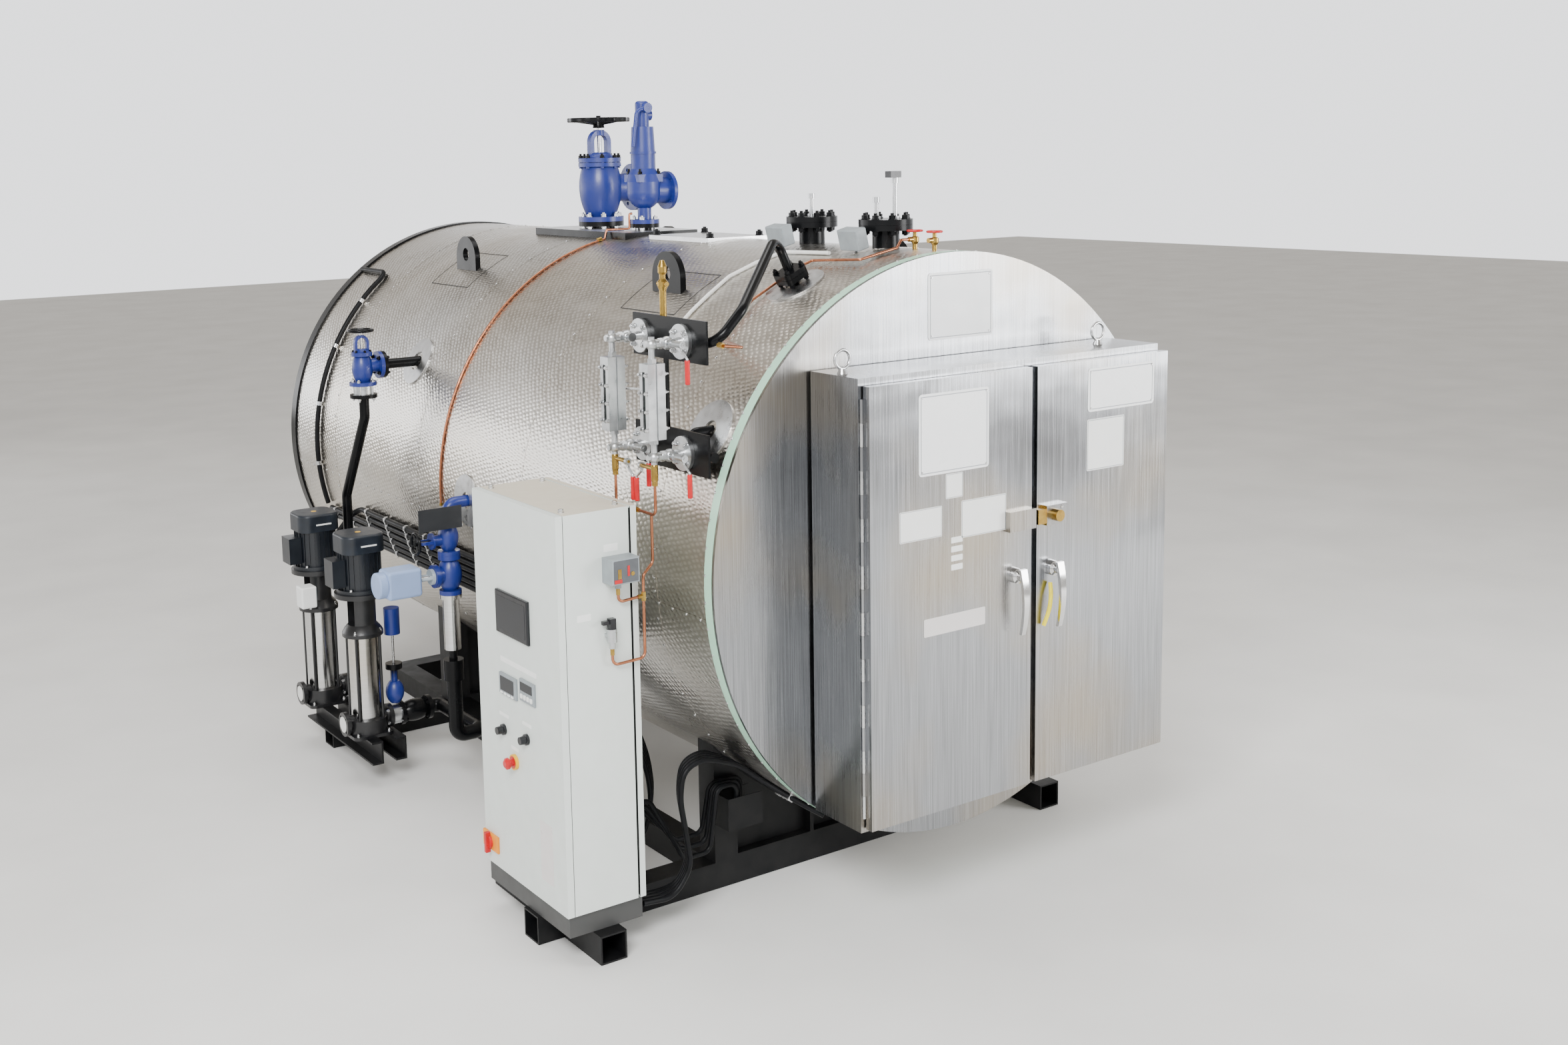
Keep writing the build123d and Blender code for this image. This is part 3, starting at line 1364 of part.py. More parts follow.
# Front enclosure, its doors, hinges, handles and lock bracket
def build_enclosure():
    wall = enclosure_wall
    x_range = (enclosure_left, enclosure_right)
    inner_x = (enclosure_left + wall, enclosure_right - wall)
    box = block(x_range, (body_front, enclosure_back), (enclosure_bottom, enclosure_top))
    box -= block(inner_x, (body_front - cut_overrun, enclosure_back - wall),
                 (enclosure_bottom + wall, enclosure_top - wall))
    lip = block(x_range, (body_front, body_front + wall), (enclosure_bottom, enclosure_top))
    lip -= block((enclosure_left + enclosure_lip, enclosure_right - enclosure_lip),
                 (body_front - cut_overrun, enclosure_back),
                 (enclosure_bottom + enclosure_lip, enclosure_top - enclosure_lip))
    box += lip
    box += block((door_seam - mullion_width / 2, door_seam + mullion_width / 2),
                 (body_front, body_front + mullion_thickness),
                 (enclosure_bottom + wall, enclosure_top - wall))
    for x in (enclosure_left + spacer_width, enclosure_right - spacer_width * 2):
        for z in (enclosure_bottom + spacer_height, enclosure_top - spacer_height * 2):
            box += block((x, x + spacer_width), (enclosure_back, shell_front - seat_gap),
                         (z, z + spacer_height))
    write("enclosure_body", box)
    eyes = []
    middle_y = (body_front + enclosure_back) / 2
    low = enclosure_top + seat_gap
    for x in (enclosure_left + eye_bolt_outer, enclosure_right - spacer_width * 3):
        middle = low + eye_bolt_shank / 2 + eye_bolt_outer
        ring = Pos(x, middle_y, middle) * Rot(90, 0, 0) * Torus(eye_bolt_outer - eye_bolt_wire / 2,
                eye_bolt_wire / 2)
        foot = turned([(0, low), (eye_bolt_collar, low), (eye_bolt_wire,
                                                          low + eye_bolt_shank / 2 + eye_bolt_wire / 2),
                       (0, low + eye_bolt_shank / 2 + eye_bolt_wire / 2)], Pos(x, middle_y, 0))
        eyes.append(ring + foot)
    write("eye_bolts", Compound(children=eyes))
    write("enclosure_hinges", Compound(children=hinge_side(-1, False) + hinge_side(1, False)))
    doors = (("left", door_edge(-1), door_seam - seam_width / 2, -1),
             ("right", door_seam + seam_width / 2, door_edge(1), 1))
    for name, low, high, side in doors:
        door = block((low, high), (door_front, door_back), (door_low, door_high))
        door -= block((low + door_skin, high - door_skin), (door_front + door_skin, door_back + cut_overrun),
                      (door_low + door_skin, door_high - door_skin))
        handle_x = door_seam + side * lever_inset
        door += rod((handle_x, door_front + door_skin / 2, lever_height), (handle_x, door_back, lever_height),
                    lever_boss)
        for piece in hinge_side(side, True):
            door += piece
        face = (door_front - clasp_depth, door_front + door_skin / 2)
        z_range = (clasp_z - clasp_height / 2, clasp_z + clasp_height / 2)
        if side < 0:
            clasp_right = door_seam - seam_width / 2 - running_gap
            door += block((clasp_right - left_clasp_width, clasp_right), face, z_range)
        else:
            near = door_seam + lock_block_width / 2
            door += block((near, near + right_clasp_width), face, z_range)
            block_z = (clasp_z - lock_block_height / 2, clasp_z + lock_block_height / 2)
            door += block((door_seam - running_gap * 4, near), (face[0] - running_gap, face[1]), block_z)
            door += rod((near + lock_knob * 1.5, door_front, clasp_z),
                        (near + lock_knob * 1.5, face[0] - lock_knob, clasp_z),
                        lock_knob * 0.8)
        write(name + "_enclosure_door", door)
        write(name + "_door_handle", door_handle(handle_x))


# Control cabinet on its plinth, with the items on its door
def build_cabinet():
    wall = cabinet_wall
    front = cabinet_left + cabinet_door_thickness + door_gap / 2
    panel = cabinet_right - back_panel_thickness
    joint = panel - back_panel_gap
    y_range = (cabinet_front, cabinet_rear)
    z_range = (cabinet_bottom, cabinet_top)
    body = block((front, cabinet_right), y_range, z_range)
    body -= block((front - cut_overrun, joint - wall), (cabinet_front + wall, cabinet_rear - wall),
                  (cabinet_bottom + wall, cabinet_top - wall))
    groove = block((joint, panel), (cabinet_front - cut_overrun, cabinet_rear + cut_overrun),
                   (cabinet_bottom - cut_overrun, cabinet_top + cut_overrun))
    groove -= block((joint - cut_overrun, panel + cut_overrun),
                    (cabinet_front + back_panel_gap, cabinet_rear - back_panel_gap),
                    (cabinet_bottom + back_panel_gap, cabinet_top - back_panel_gap))
    write("cabinet_body", body - groove)
    low = skid_top + seat_gap
    high = cabinet_bottom - seat_gap
    plinth = block((cabinet_left + plinth_inset, cabinet_right - plinth_inset),
                   (cabinet_front + plinth_inset, cabinet_rear - plinth_inset), (low, high))
    inset = plinth_inset + plinth_wall
    plinth -= block((cabinet_left + inset, cabinet_right - inset),
                    (cabinet_front + inset, cabinet_rear - inset),
                    (low - cut_overrun, high + cut_overrun))
    write("cabinet_plinth", plinth)
    skin = cabinet_left + cabinet_door_thickness
    door = block((cabinet_left, skin), y_range, z_range)
    door -= block((cabinet_left + wall, skin + cut_overrun), (cabinet_front + wall, cabinet_rear - wall),
                  (cabinet_bottom + wall, cabinet_top - wall))
    write("cabinet_door", door)
    face = cabinet_left - seat_gap

    def panel_item(from_front, up, width, height, rise):
        y = cabinet_front + from_front
        z = cabinet_bottom + up
        item = block((face - rise, face), (y - width / 2, y + width / 2), (z - height / 2, z + height / 2))
        return chamfer(item.edges().group_by(Axis.X)[0], rise * 0.3)

    write("touch_screen", panel_item(screen_from_front, screen_rise_on_door, screen_width, screen_height,
                                     screen_rise))
    write("controllers", Compound(children=[
        panel_item(square_controller_from_front, square_controller_up, square_controller_width,
                   square_controller_height, controller_rise),
        panel_item(tall_controller_from_front, tall_controller_up, tall_controller_width,
                   tall_controller_height,
                   controller_rise),
    ]))
    knobs = []
    for from_front, up in ((left_knob_from_front, left_knob_up), (right_knob_from_front, right_knob_up)):
        place = Plane(origin=(face, cabinet_front + from_front, cabinet_bottom + up), z_dir=(-1, 0, 0))
        knobs.append(turned([(0, 0), (knob_radius * 1.3, 0), (knob_radius * 1.3, knob_length * 0.3),
                             (knob_radius, knob_length * 0.35), (knob_radius * 0.9, knob_length),
                             (0, knob_length)], place))
    place = Plane(origin=(face, cabinet_front + stop_from_front, cabinet_bottom + stop_up), z_dir=(-1, 0, 0))
    neck = stop_radius * 0.6
    knobs.append(turned([(0, 0), (stop_collar, 0), (stop_collar, stop_length * 0.25),
                         (neck, stop_length * 0.3),
                         (neck, stop_length * 0.55), (stop_radius, stop_length * 0.65),
                         (stop_radius, stop_length * 0.85), (stop_radius * 0.6, stop_length),
                         (0, stop_length)], place))
    write("door_knobs", Compound(children=knobs))
    isolator = panel_item(isolator_from_front, isolator_up, isolator_width, isolator_height, isolator_rise)
    y = cabinet_front + isolator_from_front
    z = cabinet_bottom + isolator_up
    plate = face - isolator_rise
    isolator += rod((plate, y, z), (plate - isolator_rise, y, z), isolator_height * 0.4)
    grip = block((plate - isolator_rise * 2, plate), (y - isolator_grip / 5, y + isolator_grip / 5),
                 (z - isolator_grip, z + isolator_grip))
    isolator += fillet(grip.edges(), isolator_rise * 0.3)
    write("isolator", isolator)


# Pressure switch and transmitter on the cabinet's front side, the drive box at the far pump and the shield plate
def build_side_instruments():
    face = cabinet_front - seat_gap
    x = cabinet_right - switch_from_right
    z = cabinet_bottom + switch_up
    switch = block((x - switch_width / 2, x + switch_width / 2), (face - switch_depth, face),
                   (z - switch_height / 2, z + switch_height / 2))
    switch = fillet(switch.edges().group_by(Axis.Y)[0], switch_depth * 0.06)
    low = z - switch_height / 2
    switch_x = x - switch_width * 0.05
    switch += rod((switch_x, instrument_y, low - plug_width), (switch_x, instrument_y, low), plug_width / 2)
    x = cabinet_right - transmitter_from_right
    z = cabinet_bottom + transmitter_up
    top = z + transmitter_height / 2
    sensor = turned([(0, -transmitter_height), (copper_radius * 2, -transmitter_height),
                     (copper_radius * 2, -transmitter_height / 2),
                     (transmitter_radius, -transmitter_height / 2),
                     (transmitter_radius, transmitter_height / 2), (0, transmitter_height / 2)],
                     Pos(x, instrument_y, z))
    sensor += block((x - plug_width / 2, x + plug_width / 2),
                    (instrument_y - plug_width / 2, instrument_y + plug_width / 2),
                    (top, top + plug_height * 0.7))
    sensor += block((x - plug_width * 1.6, x), (instrument_y - plug_width / 3, instrument_y + plug_width / 3),
                    (top + plug_height * 0.35, top + plug_height * 0.6))
    bracket = block((x - transmitter_radius, x + transmitter_radius), (instrument_y, face),
                    (z - transmitter_height / 8, z + transmitter_height / 8))
    far = pump_places[1]
    left = pump_x - pump_sleeve_radius
    drive_z = stool_low + pump_top_flange_height
    drive = block((left - drive_box_depth, left), (far - motor_radius - drive_box_width, far - motor_radius),
                  (drive_z, drive_z + drive_box_height))
    drive = fillet(drive.edges(), drive_box_width * 0.1)
    inside = Vector(left - drive_box_depth / 2, far - motor_radius - drive_box_width / 2,
                    drive_z + drive_box_height / 2)
    axis = Vector(pump_x, far, drive_z + drive_box_height / 2)
    drive += rod(inside, axis + (inside - axis).normalized() * (pump_stool_radius + seat_gap), pump_tie_rod)
    low = inlet_z - shield_rise
    y = station_y - shield_forward
    shield_x = station_x - shield_width / 3
    shield = block((shield_x - shield_width / 2, shield_x + shield_width / 2), (y, y + shield_thickness),
                   (low, low + shield_height))
    shield += block((station_x - shield_thickness * 4, station_x + shield_thickness * 4),
                    (y, station_y - inlet_pipe_radius - running_gap),
                    (inlet_z - inlet_elbow + shield_thickness, inlet_z - inlet_elbow + shield_thickness * 3))
    write("side_instruments", Compound(children=[switch, sensor + bracket, drive, shield]))


# Level gauges with their brackets, cocks and levers
def cock(y, z, end, side, stem):
    face = bracket_x - seat_gap
    middle = (bracket_x + gauge_x) / 2
    half = cock_block / 2
    body = disc((face, y, z), (-1, 0, 0), cock_flange_radius, cock_flange_thickness)
    body += rod((face, y, z), (gauge_x, y, z), cock_radius)
    body += Pos(middle, y, z) * Sphere(half * 1.1)
    body += hexagon((middle - half, y, z), (-1, 0, 0), cock_radius * 2.4, cock_radius)
    body += Pos(gauge_x, y, z) * Sphere(cock_radius * 1.25)
    body += hexagon((gauge_x - cock_radius, y, z), (-1, 0, 0), cock_radius * 1.5, cock_radius * 0.7)
    body += rod((gauge_x, y, z - side * cock_radius * 1.6), (gauge_x, y, end), cock_radius * 0.7)
    body += hexagon((gauge_x, y, end), (0, 0, -side), cock_radius * 2.2, cock_radius)
    body += rod((middle, y, z), (middle, y - half - cock_radius, z), cock_radius)
    if stem:
        hub = y - stem + running_gap
        body += rod((middle, y, z), (middle, hub, z), cock_hub * 0.9)
        body += rod((middle, y, z), (middle, hub - cock_hub - running_gap * 3, z), cock_pivot)
    return body


def cock_lever(x, y, z, way):
    start = y + way * cock_hub / 2
    out = start + way * cock_lever_crank
    drop = z - cock_lever_crank - cock_hub * 0.8
    grip_top = z - cock_lever_crank * 1.3
    grip_low = grip_top - cock_lever_length * 0.8
    route = [(x, start, z - cock_hub * 0.7), (x, start, z - cock_hub * 1.5), (x, out, drop),
             (x, out, grip_low + cock_grip)]
    lever = rod((x, y, z), (x, y + way * cock_hub, z), cock_hub) + pipe(route, cock_shank, cock_shank * 1.2)
    grip = rod((x, out, grip_low), (x, out, grip_top - cock_shank), cock_grip)
    lever += fillet(grip.edges(), cock_grip * 0.4)
    return lever - rod((x, y - way, z), (x, y + way * cock_hub * 1.5, z), cock_pivot + pivot_gap)


def build_gauges():
    back = bracket_x + bracket_thickness
    half = bracket_link_width / 2
    across = (bracket_x, back)
    plates = block(across, (bracket_front, bracket_rear), (upper_bracket_low, upper_bracket_high))
    plates += block(across, (bracket_front, bracket_rear), (lower_bracket_low, lower_bracket_high))
    plates += block(across, (bracket_link_y - half, bracket_link_y + half),
                    (lower_bracket_high, upper_bracket_low))
    clamp_z = gauge_bottom + gauge_height * 0.55
    for y in gauge_places:
        plates += rod((bracket_x, bracket_link_y, clamp_z), (gauge_x + gauge_depth / 2 + cock_shank, y,
                clamp_z), cock_shank)
    write("gauge_bracket", plates)
    shell_x = -side_on_shell(lower_nozzle_z)
    near = gauge_places[1]
    bend_z = lower_cock_z
    out_x = back + seat_gap + gauge_pipe_radius
    header = rod((out_x, gauge_places[0] + gauge_pipe_radius, bend_z), (out_x, bracket_front, bend_z),
                 gauge_pipe_radius)
    nozzle = pipe([(out_x, near, bend_z), (out_x, near, lower_nozzle_z),
                   (shell_x + collar_radius, near, lower_nozzle_z)],
                  gauge_pipe_radius, gauge_pipe_radius * 1.5)
    nozzle = nozzle + header - shell_core(shell_outside, near - collar_radius, near + collar_radius * 4)
    write("gauge_nozzle", nozzle)
    glasses, cocks = [], []
    for y in gauge_places:
        x_range = (gauge_x - gauge_depth / 2, gauge_x + gauge_depth / 2)
        wide = (y - gauge_width / 2, y + gauge_width / 2)
        glass = block(x_range, wide, (gauge_bottom, gauge_top))
        joint = block((gauge_x - gauge_joint, gauge_x + gauge_joint),
                      (wide[0] - cut_overrun, wide[1] + cut_overrun),
                      (gauge_bottom, gauge_top))
        joint -= block(x_range, (wide[0] + gauge_joint * 2, wide[1] - gauge_joint * 2),
                       (gauge_bottom, gauge_top))
        glass -= joint
        glass -= block((x_range[0] - cut_overrun, x_range[0] + gauge_window_depth),
                       (y - gauge_window_width / 2, y + gauge_window_width / 2),
                       (gauge_bottom + gauge_window_margin, gauge_top - gauge_window_margin))
        glasses.append(glass)
        stem = cock_stem_reach
        cocks.append(cock(y, upper_cock_z, gauge_top + seat_gap, -1, stem if y == near else 0))
        cocks.append(cock(y, lower_cock_z, gauge_bottom - seat_gap, 1, stem))
    write("gauge_glasses", Compound(children=glasses))
    write("gauge_cocks", Compound(children=cocks))
    middle = (bracket_x + gauge_x) / 2
    write("upper_cock_lever", cock_lever(middle, near - cock_stem_reach, upper_cock_z, -1))
    write("lower_cock_lever", cock_lever(middle, near - cock_stem_reach, lower_cock_z, -1))
    levers = [cock_lever(middle, gauge_places[0] - cock_stem_reach, lower_cock_z, -1)]
    for y, way in ((gauge_places[0], -1), (near, 1)):
        levers.append(cock_lever(gauge_x, y + way * drain_stem, drain_z, way))
    for y in vent_places:
        top = shell_top + vent_height
        wheel = small_wheel((vent_x, y, top + seat_gap + vent_wheel_thickness / 2), (0, 0, 1), vent_wheel,
                            vent_wheel_thickness / 2,
                            vent_wheel * 0.3, 5)
        levers.append(wheel)
    write("small_levers", Compound(children=levers))


# Balance pipe from the shell's steam space along the back of the upper bracket
def build_balance():
    turn = math.radians(balance_nozzle_angle)
    way = (math.cos(turn), math.sin(turn))
    reach = shell_radius + balance_nozzle_rise

    def along(distance):
        return (way[0] * distance, balance_nozzle_y, axis_height + way[1] * distance)

    nozzle = rod(along(shell_radius * 0.9), along(reach), gauge_pipe_radius)
    square = balance_square
    for start in (reach - balance_flange_thickness * 2 - running_gap, reach - balance_flange_thickness):
        plane = Plane(origin=along(start), z_dir=(way[0], 0, way[1]))
        nozzle += plane * extrude(RectangleRounded(square, square, square * 0.2),
                                  amount=balance_flange_thickness)
    nozzle -= shell_core(shell_outside, balance_nozzle_y - collar_radius, balance_nozzle_y + collar_radius)
    header_x = bracket_x + bracket_thickness + seat_gap + gauge_pipe_radius
    header_z = upper_cock_z
    elbow_y = bracket_front - gauge_pipe_radius
    rise = along(reach + balance_rise)
    route = [along(reach + seat_gap), rise,
             (header_x + balance_run, elbow_y, header_z + balance_run),
             (header_x, elbow_y, header_z), (header_x, gauge_places[0] + gauge_pipe_radius, header_z)]
    write("balance_pipe", Compound(children=[nozzle, pipe(route, gauge_pipe_radius, balance_bend)]))


# Probe nozzles on the crown at the front, with their probes and boxes
def build_probes():
    nozzles, probes = [], []
    low = probe_flange_top + seat_gap
    for y in probe_places:
        nozzle = crown_nozzle(y, probe_neck_radius, probe_flange_radius,
                              probe_flange_thickness * 2 + running_gap,
                              probe_flange_top)
        middle = probe_flange_top - probe_flange_thickness
        ring = rod((0, y, middle - running_gap), (0, y, middle), probe_flange_radius + cut_overrun)
        ring -= rod((0, y, middle - running_gap * 2), (0, y, middle + running_gap),
                    probe_flange_radius * 0.95)
        nozzles.append(nozzle - ring)
    rear, front = probe_places
    places = [(0, rear, probe_heights[0]), (-probe_offset, front + probe_offset, probe_heights[1]),
              (probe_offset, front - probe_offset, probe_heights[2])]
    for x, y, height in places:
        top = low + height
        profile = [(0, low), (probe_radius * 1.8, low), (probe_radius * 1.8, low + probe_radius),
                   (probe_radius, low + probe_radius),
                   (probe_radius, top - probe_head_height / 2),
                   (probe_head_radius * 0.8, top - probe_head_height / 2),
                   (probe_head_radius * 0.8, top), (0, top)]
        probe = turned(profile, Pos(x, y, 0))
        if height == max(probe_heights):
            probe += block((x - probe_head_height * 0.8, x + probe_head_radius),
                           (y - probe_head_radius, y + probe_head_radius),
                           (top, top + probe_head_radius * 1.4))
        probes.append(probe)
    for y in probe_places:
        place = Pos(-probe_box_left, y, height_on_shell(probe_box_left) + probe_box_rise) * Rot(0,
                -probe_box_tilt, 0)
        box = Box(probe_box_depth, probe_box_width, probe_box_height)
        box = place * fillet(box.edges(), probe_box_depth * 0.1)
        box += place * rod((0, 0, -probe_box_height / 2), (probe_box_depth / 2, 0,
                                                           -probe_box_rise - probe_box_depth),
                                                           probe_radius / 2)
        box -= shell_core(shell_outside, y - probe_box_width, y + probe_box_width)
        probes.append(box)
    write("probe_nozzles", Compound(children=nozzles))
    write("level_probes", Compound(children=probes))


# Brass: crown valves, drain fittings, unions, tee and the cock above the upper bracket
def build_brass():
    parts = []
    for y in vent_places:
        top = shell_top + vent_height
        body = turned([(0, shell_top - vent_body), (vent_body * 0.6, shell_top - vent_body),
                       (vent_body * 0.6, top - vent_height * 0.7),
                       (vent_body, top - vent_height * 0.55), (vent_body, top - vent_height * 0.3),
                       (vent_body * 0.5, top - vent_height * 0.25), (vent_body * 0.5, top), (0, top)],
                       Pos(vent_x, y, 0))
        middle = top - vent_height * 0.42
        body += rod((vent_x, y, middle), (vent_x - vent_body * 2, y, middle), vent_body * 0.6)
        parts.append(body - shell_core(shell_outside, y - vent_body * 2, y + vent_body * 2))
    for y, way in ((gauge_places[0], -1), (gauge_places[1], 1)):
        top = lower_cock_z - cock_radius * 1.6 - seat_gap
        drain = turned([(0, loop_top), (copper_radius * 2, loop_top),
                        (copper_radius * 2, loop_top + copper_radius * 3),
                        (drain_body, loop_top + copper_radius * 4), (drain_body, drain_z + drain_body * 0.8),
                        (copper_radius * 2, top), (0, top)], Pos(gauge_x, y, 0))
        drain += rod((gauge_x, y, drain_z), (gauge_x, y + way * (drain_stem - running_gap), drain_z),
                     drain_body * 0.6)
        drain += rod((gauge_x, y, drain_z), (gauge_x, y + way * (drain_stem + cock_hub + running_gap * 2),
                                             drain_z), cock_pivot)
        parts.append(drain)
    middle = (gauge_places[0] + gauge_places[1]) / 2
    union = [(middle - loop_union / 2, middle + loop_union / 2)]
    for low, high in union:
        parts.append(hexagon((gauge_x, low, loop_low), (0, 1, 0), copper_radius * 3.6, high - low))
    tee_x = cabinet_right - copper_tee_from_right
    tee = hexagon((tee_x, instrument_y, tee_z - tee_half), (0, 0, 1), copper_radius * 3.4, tee_half * 2)
    tee += hexagon((tee_x, instrument_y, tee_z), (-1, 0, 0), copper_radius * 3, tee_half * 1.5)
    parts.append(tee)
    switch_x = cabinet_right - switch_from_right - switch_width * 0.05
    end = cabinet_bottom + switch_up - switch_height / 2 - plug_width - seat_gap
    parts.append(hexagon((switch_x, instrument_y, end), (0, 0, -1), copper_radius * 3.2, plug_width))
    sensor_x = cabinet_right - transmitter_from_right
    end = cabinet_bottom + transmitter_up - transmitter_height - seat_gap
    parts.append(hexagon((sensor_x, instrument_y, end), (0, 0, -1), copper_radius * 3.2, plug_width))
    header_x = bracket_x + bracket_thickness + seat_gap + gauge_pipe_radius
    low = upper_cock_z + gauge_pipe_radius + seat_gap
    top = low + brass_cock_height
    body = turned([(0, low), (brass_cock_radius, low), (brass_cock_radius, top - brass_cock_height * 0.42),
                   (brass_cock_radius * 1.5, top - brass_cock_height * 0.36),
                   (brass_cock_radius * 1.5, top - brass_cock_height * 0.3),
                   (brass_cock_radius * 0.9, top - brass_cock_height * 0.26),
                   (brass_cock_radius * 0.9, top - brass_cock_height * 0.2),
                   (brass_cock_radius * 1.3, top - brass_cock_height * 0.17),
                   (brass_cock_radius * 1.3, top - brass_cock_height * 0.09), (brass_cock_radius * 0.6, top),
                   (0, top)],
                  Pos(header_x, brass_cock_y, 0))
    side_z = top - brass_cock_height * 0.33
    body += rod((header_x, brass_cock_y - brass_cock_radius * 2.2, side_z),
                (header_x, brass_cock_y + brass_cock_radius * 2.2, side_z),
                brass_cock_radius * 0.7)
    parts.append(body)
    end_y = bracket_front - gauge_pipe_radius * 2 - seat_gap
    parts.append(hexagon((header_x, end_y, upper_cock_z), (0, -1, 0), copper_radius * 4,
                         brass_cock_radius * 2))
    return parts


# Thin copper lines: the drain loop, the lines to the instruments, the front line and the line over the shell
def build_copper():
    brass = build_brass()
    near, far = gauge_places[1], gauge_places[0]
    middle = (near + far) / 2
    bend = copper_bend
    top = loop_top - seat_gap
    half = loop_union / 2 + seat_gap
    lines = [
        pipe([(gauge_x, far, top), (gauge_x, far, loop_low), (gauge_x, middle + half, loop_low)],
             copper_radius, bend),
        pipe([(gauge_x, near, top), (gauge_x, near, loop_low), (gauge_x, middle - half, loop_low)],
             copper_radius, bend),
    ]
    tee_x = cabinet_right - copper_tee_from_right
    switch_x = cabinet_right - switch_from_right - switch_width * 0.05
    sensor_x = cabinet_right - transmitter_from_right
    start_y = near + copper_bend * 1.2
    start = (gauge_x, start_y, loop_low - copper_radius)
    upper = pipe([start, (gauge_x, start_y, loop_low - line_first_drop),
                  (tee_x, instrument_y, loop_low - line_second_drop),
                  (tee_x, instrument_y, tee_z + tee_half + seat_gap)], copper_radius, bend)
    lines[1] += upper
    switch_end = cabinet_bottom + switch_up - switch_height / 2 - plug_width * 2 - seat_gap * 2
    lines.append(pipe([(tee_x - tee_half * 1.5 - seat_gap, instrument_y, tee_z),
                       (switch_x, instrument_y, tee_z - copper_radius),
                       (switch_x, instrument_y, switch_end)], copper_radius, bend * 0.8))
    sensor_end = cabinet_bottom + transmitter_up - transmitter_height - plug_width - seat_gap * 2
    lines.append(pipe([(tee_x, instrument_y, tee_z - tee_half - seat_gap),
                       (tee_x, instrument_y, sensor_end - copper_bend * 1.4),
                       (sensor_x, instrument_y, sensor_end - copper_bend * 1.6),
                       (sensor_x, instrument_y, sensor_end)],
                      copper_radius, bend))
    lift = copper_radius + seat_gap
    header_x = bracket_x + bracket_thickness + seat_gap + gauge_pipe_radius
    end_y = bracket_front - gauge_pipe_radius * 2 - brass_cock_radius * 2 - seat_gap * 2 - copper_radius
    front = [(header_x, end_y, upper_cock_z), (header_x + front_line_run, end_y,
                                               upper_cock_z - copper_radius * 2)]
    over = lift + collar_rise * 1.8
    points = [shell_point(angle, y, over) for angle, y in zip(front_line_angles, front_line_places)]
    vent_z = shell_top + vent_height * 0.58
    last = (vent_x - vent_body * 2 - seat_gap, vent_places[0], vent_z)
    points += [(last[0] - copper_bend * 1.6, vent_places[0], vent_z), last]
    lines.append(pipe(front + points, copper_radius, bend * 0.5))
    arc = shell_arc(copper_y, copper_top_angle, 180, lift, copper_radius)
    lead = shell_point(copper_top_angle, copper_y, lift)
    over_plate = shell_top + cover_rise + copper_radius * 2
    rise_x = -safety_flange_radius - copper_radius * 3
    arc += pipe([lead, (lead[0] + copper_bend * 0.45, copper_y, over_plate), (rise_x, copper_y, over_plate),
                 (rise_x, copper_y, drain_rise_z), (rise_x + copper_radius * 3, copper_y, drain_rise_z)],
                copper_radius, copper_radius * 1.6)
    end = shell_point(180, copper_y, lift)
    arc += rod(end, (end[0], end[1], end[2] + copper_end_rise), copper_radius)
    lines.append(arc)
    write("copper_lines", Compound(children=lines))
    ring = shell_radius + lift
    turn = math.radians(copper_top_angle)
    start = (ring * math.cos(turn), copper_y, axis_height + ring * math.sin(turn))
    ring_nut = shell_arc(copper_y, copper_top_angle + 1, copper_top_angle + 2, lift + copper_radius,
                         copper_radius * 1.9)
    brass.append(ring_nut - shell_arc(copper_y, copper_top_angle, copper_top_angle + 3, lift,
                                      copper_radius + seat_gap)
                 - shell_core(shell_outside, copper_y - copper_clip * 3, copper_y + copper_clip * 3))
    lower = end[2] + copper_end_rise - seat_gap
    brass.append(hexagon((end[0], copper_y, lower), (0, 0, -1), copper_radius * 3, copper_clip)
                 - shell_core(shell_outside, copper_y - copper_clip, copper_y + copper_clip))
    write("brass_fittings", Compound(children=brass))


# White signal cable held to the shell from behind the upper bracket to the probes
def build_signal_cable():
    lift = signal_radius + signal_lift
    points = [shell_point(angle, y, lift) for angle, y in zip(signal_angles, signal_places)]
    write("signal_cable", pipe(points, signal_radius, copper_bend * 1.5))


build_shell()
build_skid()
build_saddles()
build_lugs()
build_covers()
build_crown_valve()
build_safety_valve()
build_feed_valve()
build_collars()
build_pumps()
build_pipework()
build_blue_valves()
build_actuator()
build_conduits()
build_enclosure()
build_cabinet()
build_side_instruments()
build_gauges()
build_balance()
build_probes()
build_copper()
build_signal_cable()
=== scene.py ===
import bpy
import bmesh
import math
from mathutils import Euler, Matrix, Vector


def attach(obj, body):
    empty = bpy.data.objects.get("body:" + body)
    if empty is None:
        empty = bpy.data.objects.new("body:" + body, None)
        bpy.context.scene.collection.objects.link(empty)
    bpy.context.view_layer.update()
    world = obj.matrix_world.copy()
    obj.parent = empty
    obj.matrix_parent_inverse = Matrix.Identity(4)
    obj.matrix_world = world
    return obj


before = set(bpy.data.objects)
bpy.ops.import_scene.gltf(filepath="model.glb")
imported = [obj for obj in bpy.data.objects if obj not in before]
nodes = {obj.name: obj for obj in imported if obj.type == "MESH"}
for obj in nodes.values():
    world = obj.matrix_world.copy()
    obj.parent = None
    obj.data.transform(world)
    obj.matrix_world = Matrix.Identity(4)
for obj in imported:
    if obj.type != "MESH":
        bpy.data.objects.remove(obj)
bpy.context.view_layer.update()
print("CAD loaded:", len(nodes), "nodes")

shellRadius = 1.05
axisHeight = 1.25
shellFront = -0.478
shellBack = 3.407


# colours are given as sRGB hex and turned into linear values here
def linear(hexText):
    values = []
    for index in (0, 2, 4):
        part = int(hexText[index:index + 2], 16) / 255
        values.append(part / 12.92 if part <= 0.04045 else ((part + 0.055) / 1.055) ** 2.4)
    return (values[0], values[1], values[2], 1.0)


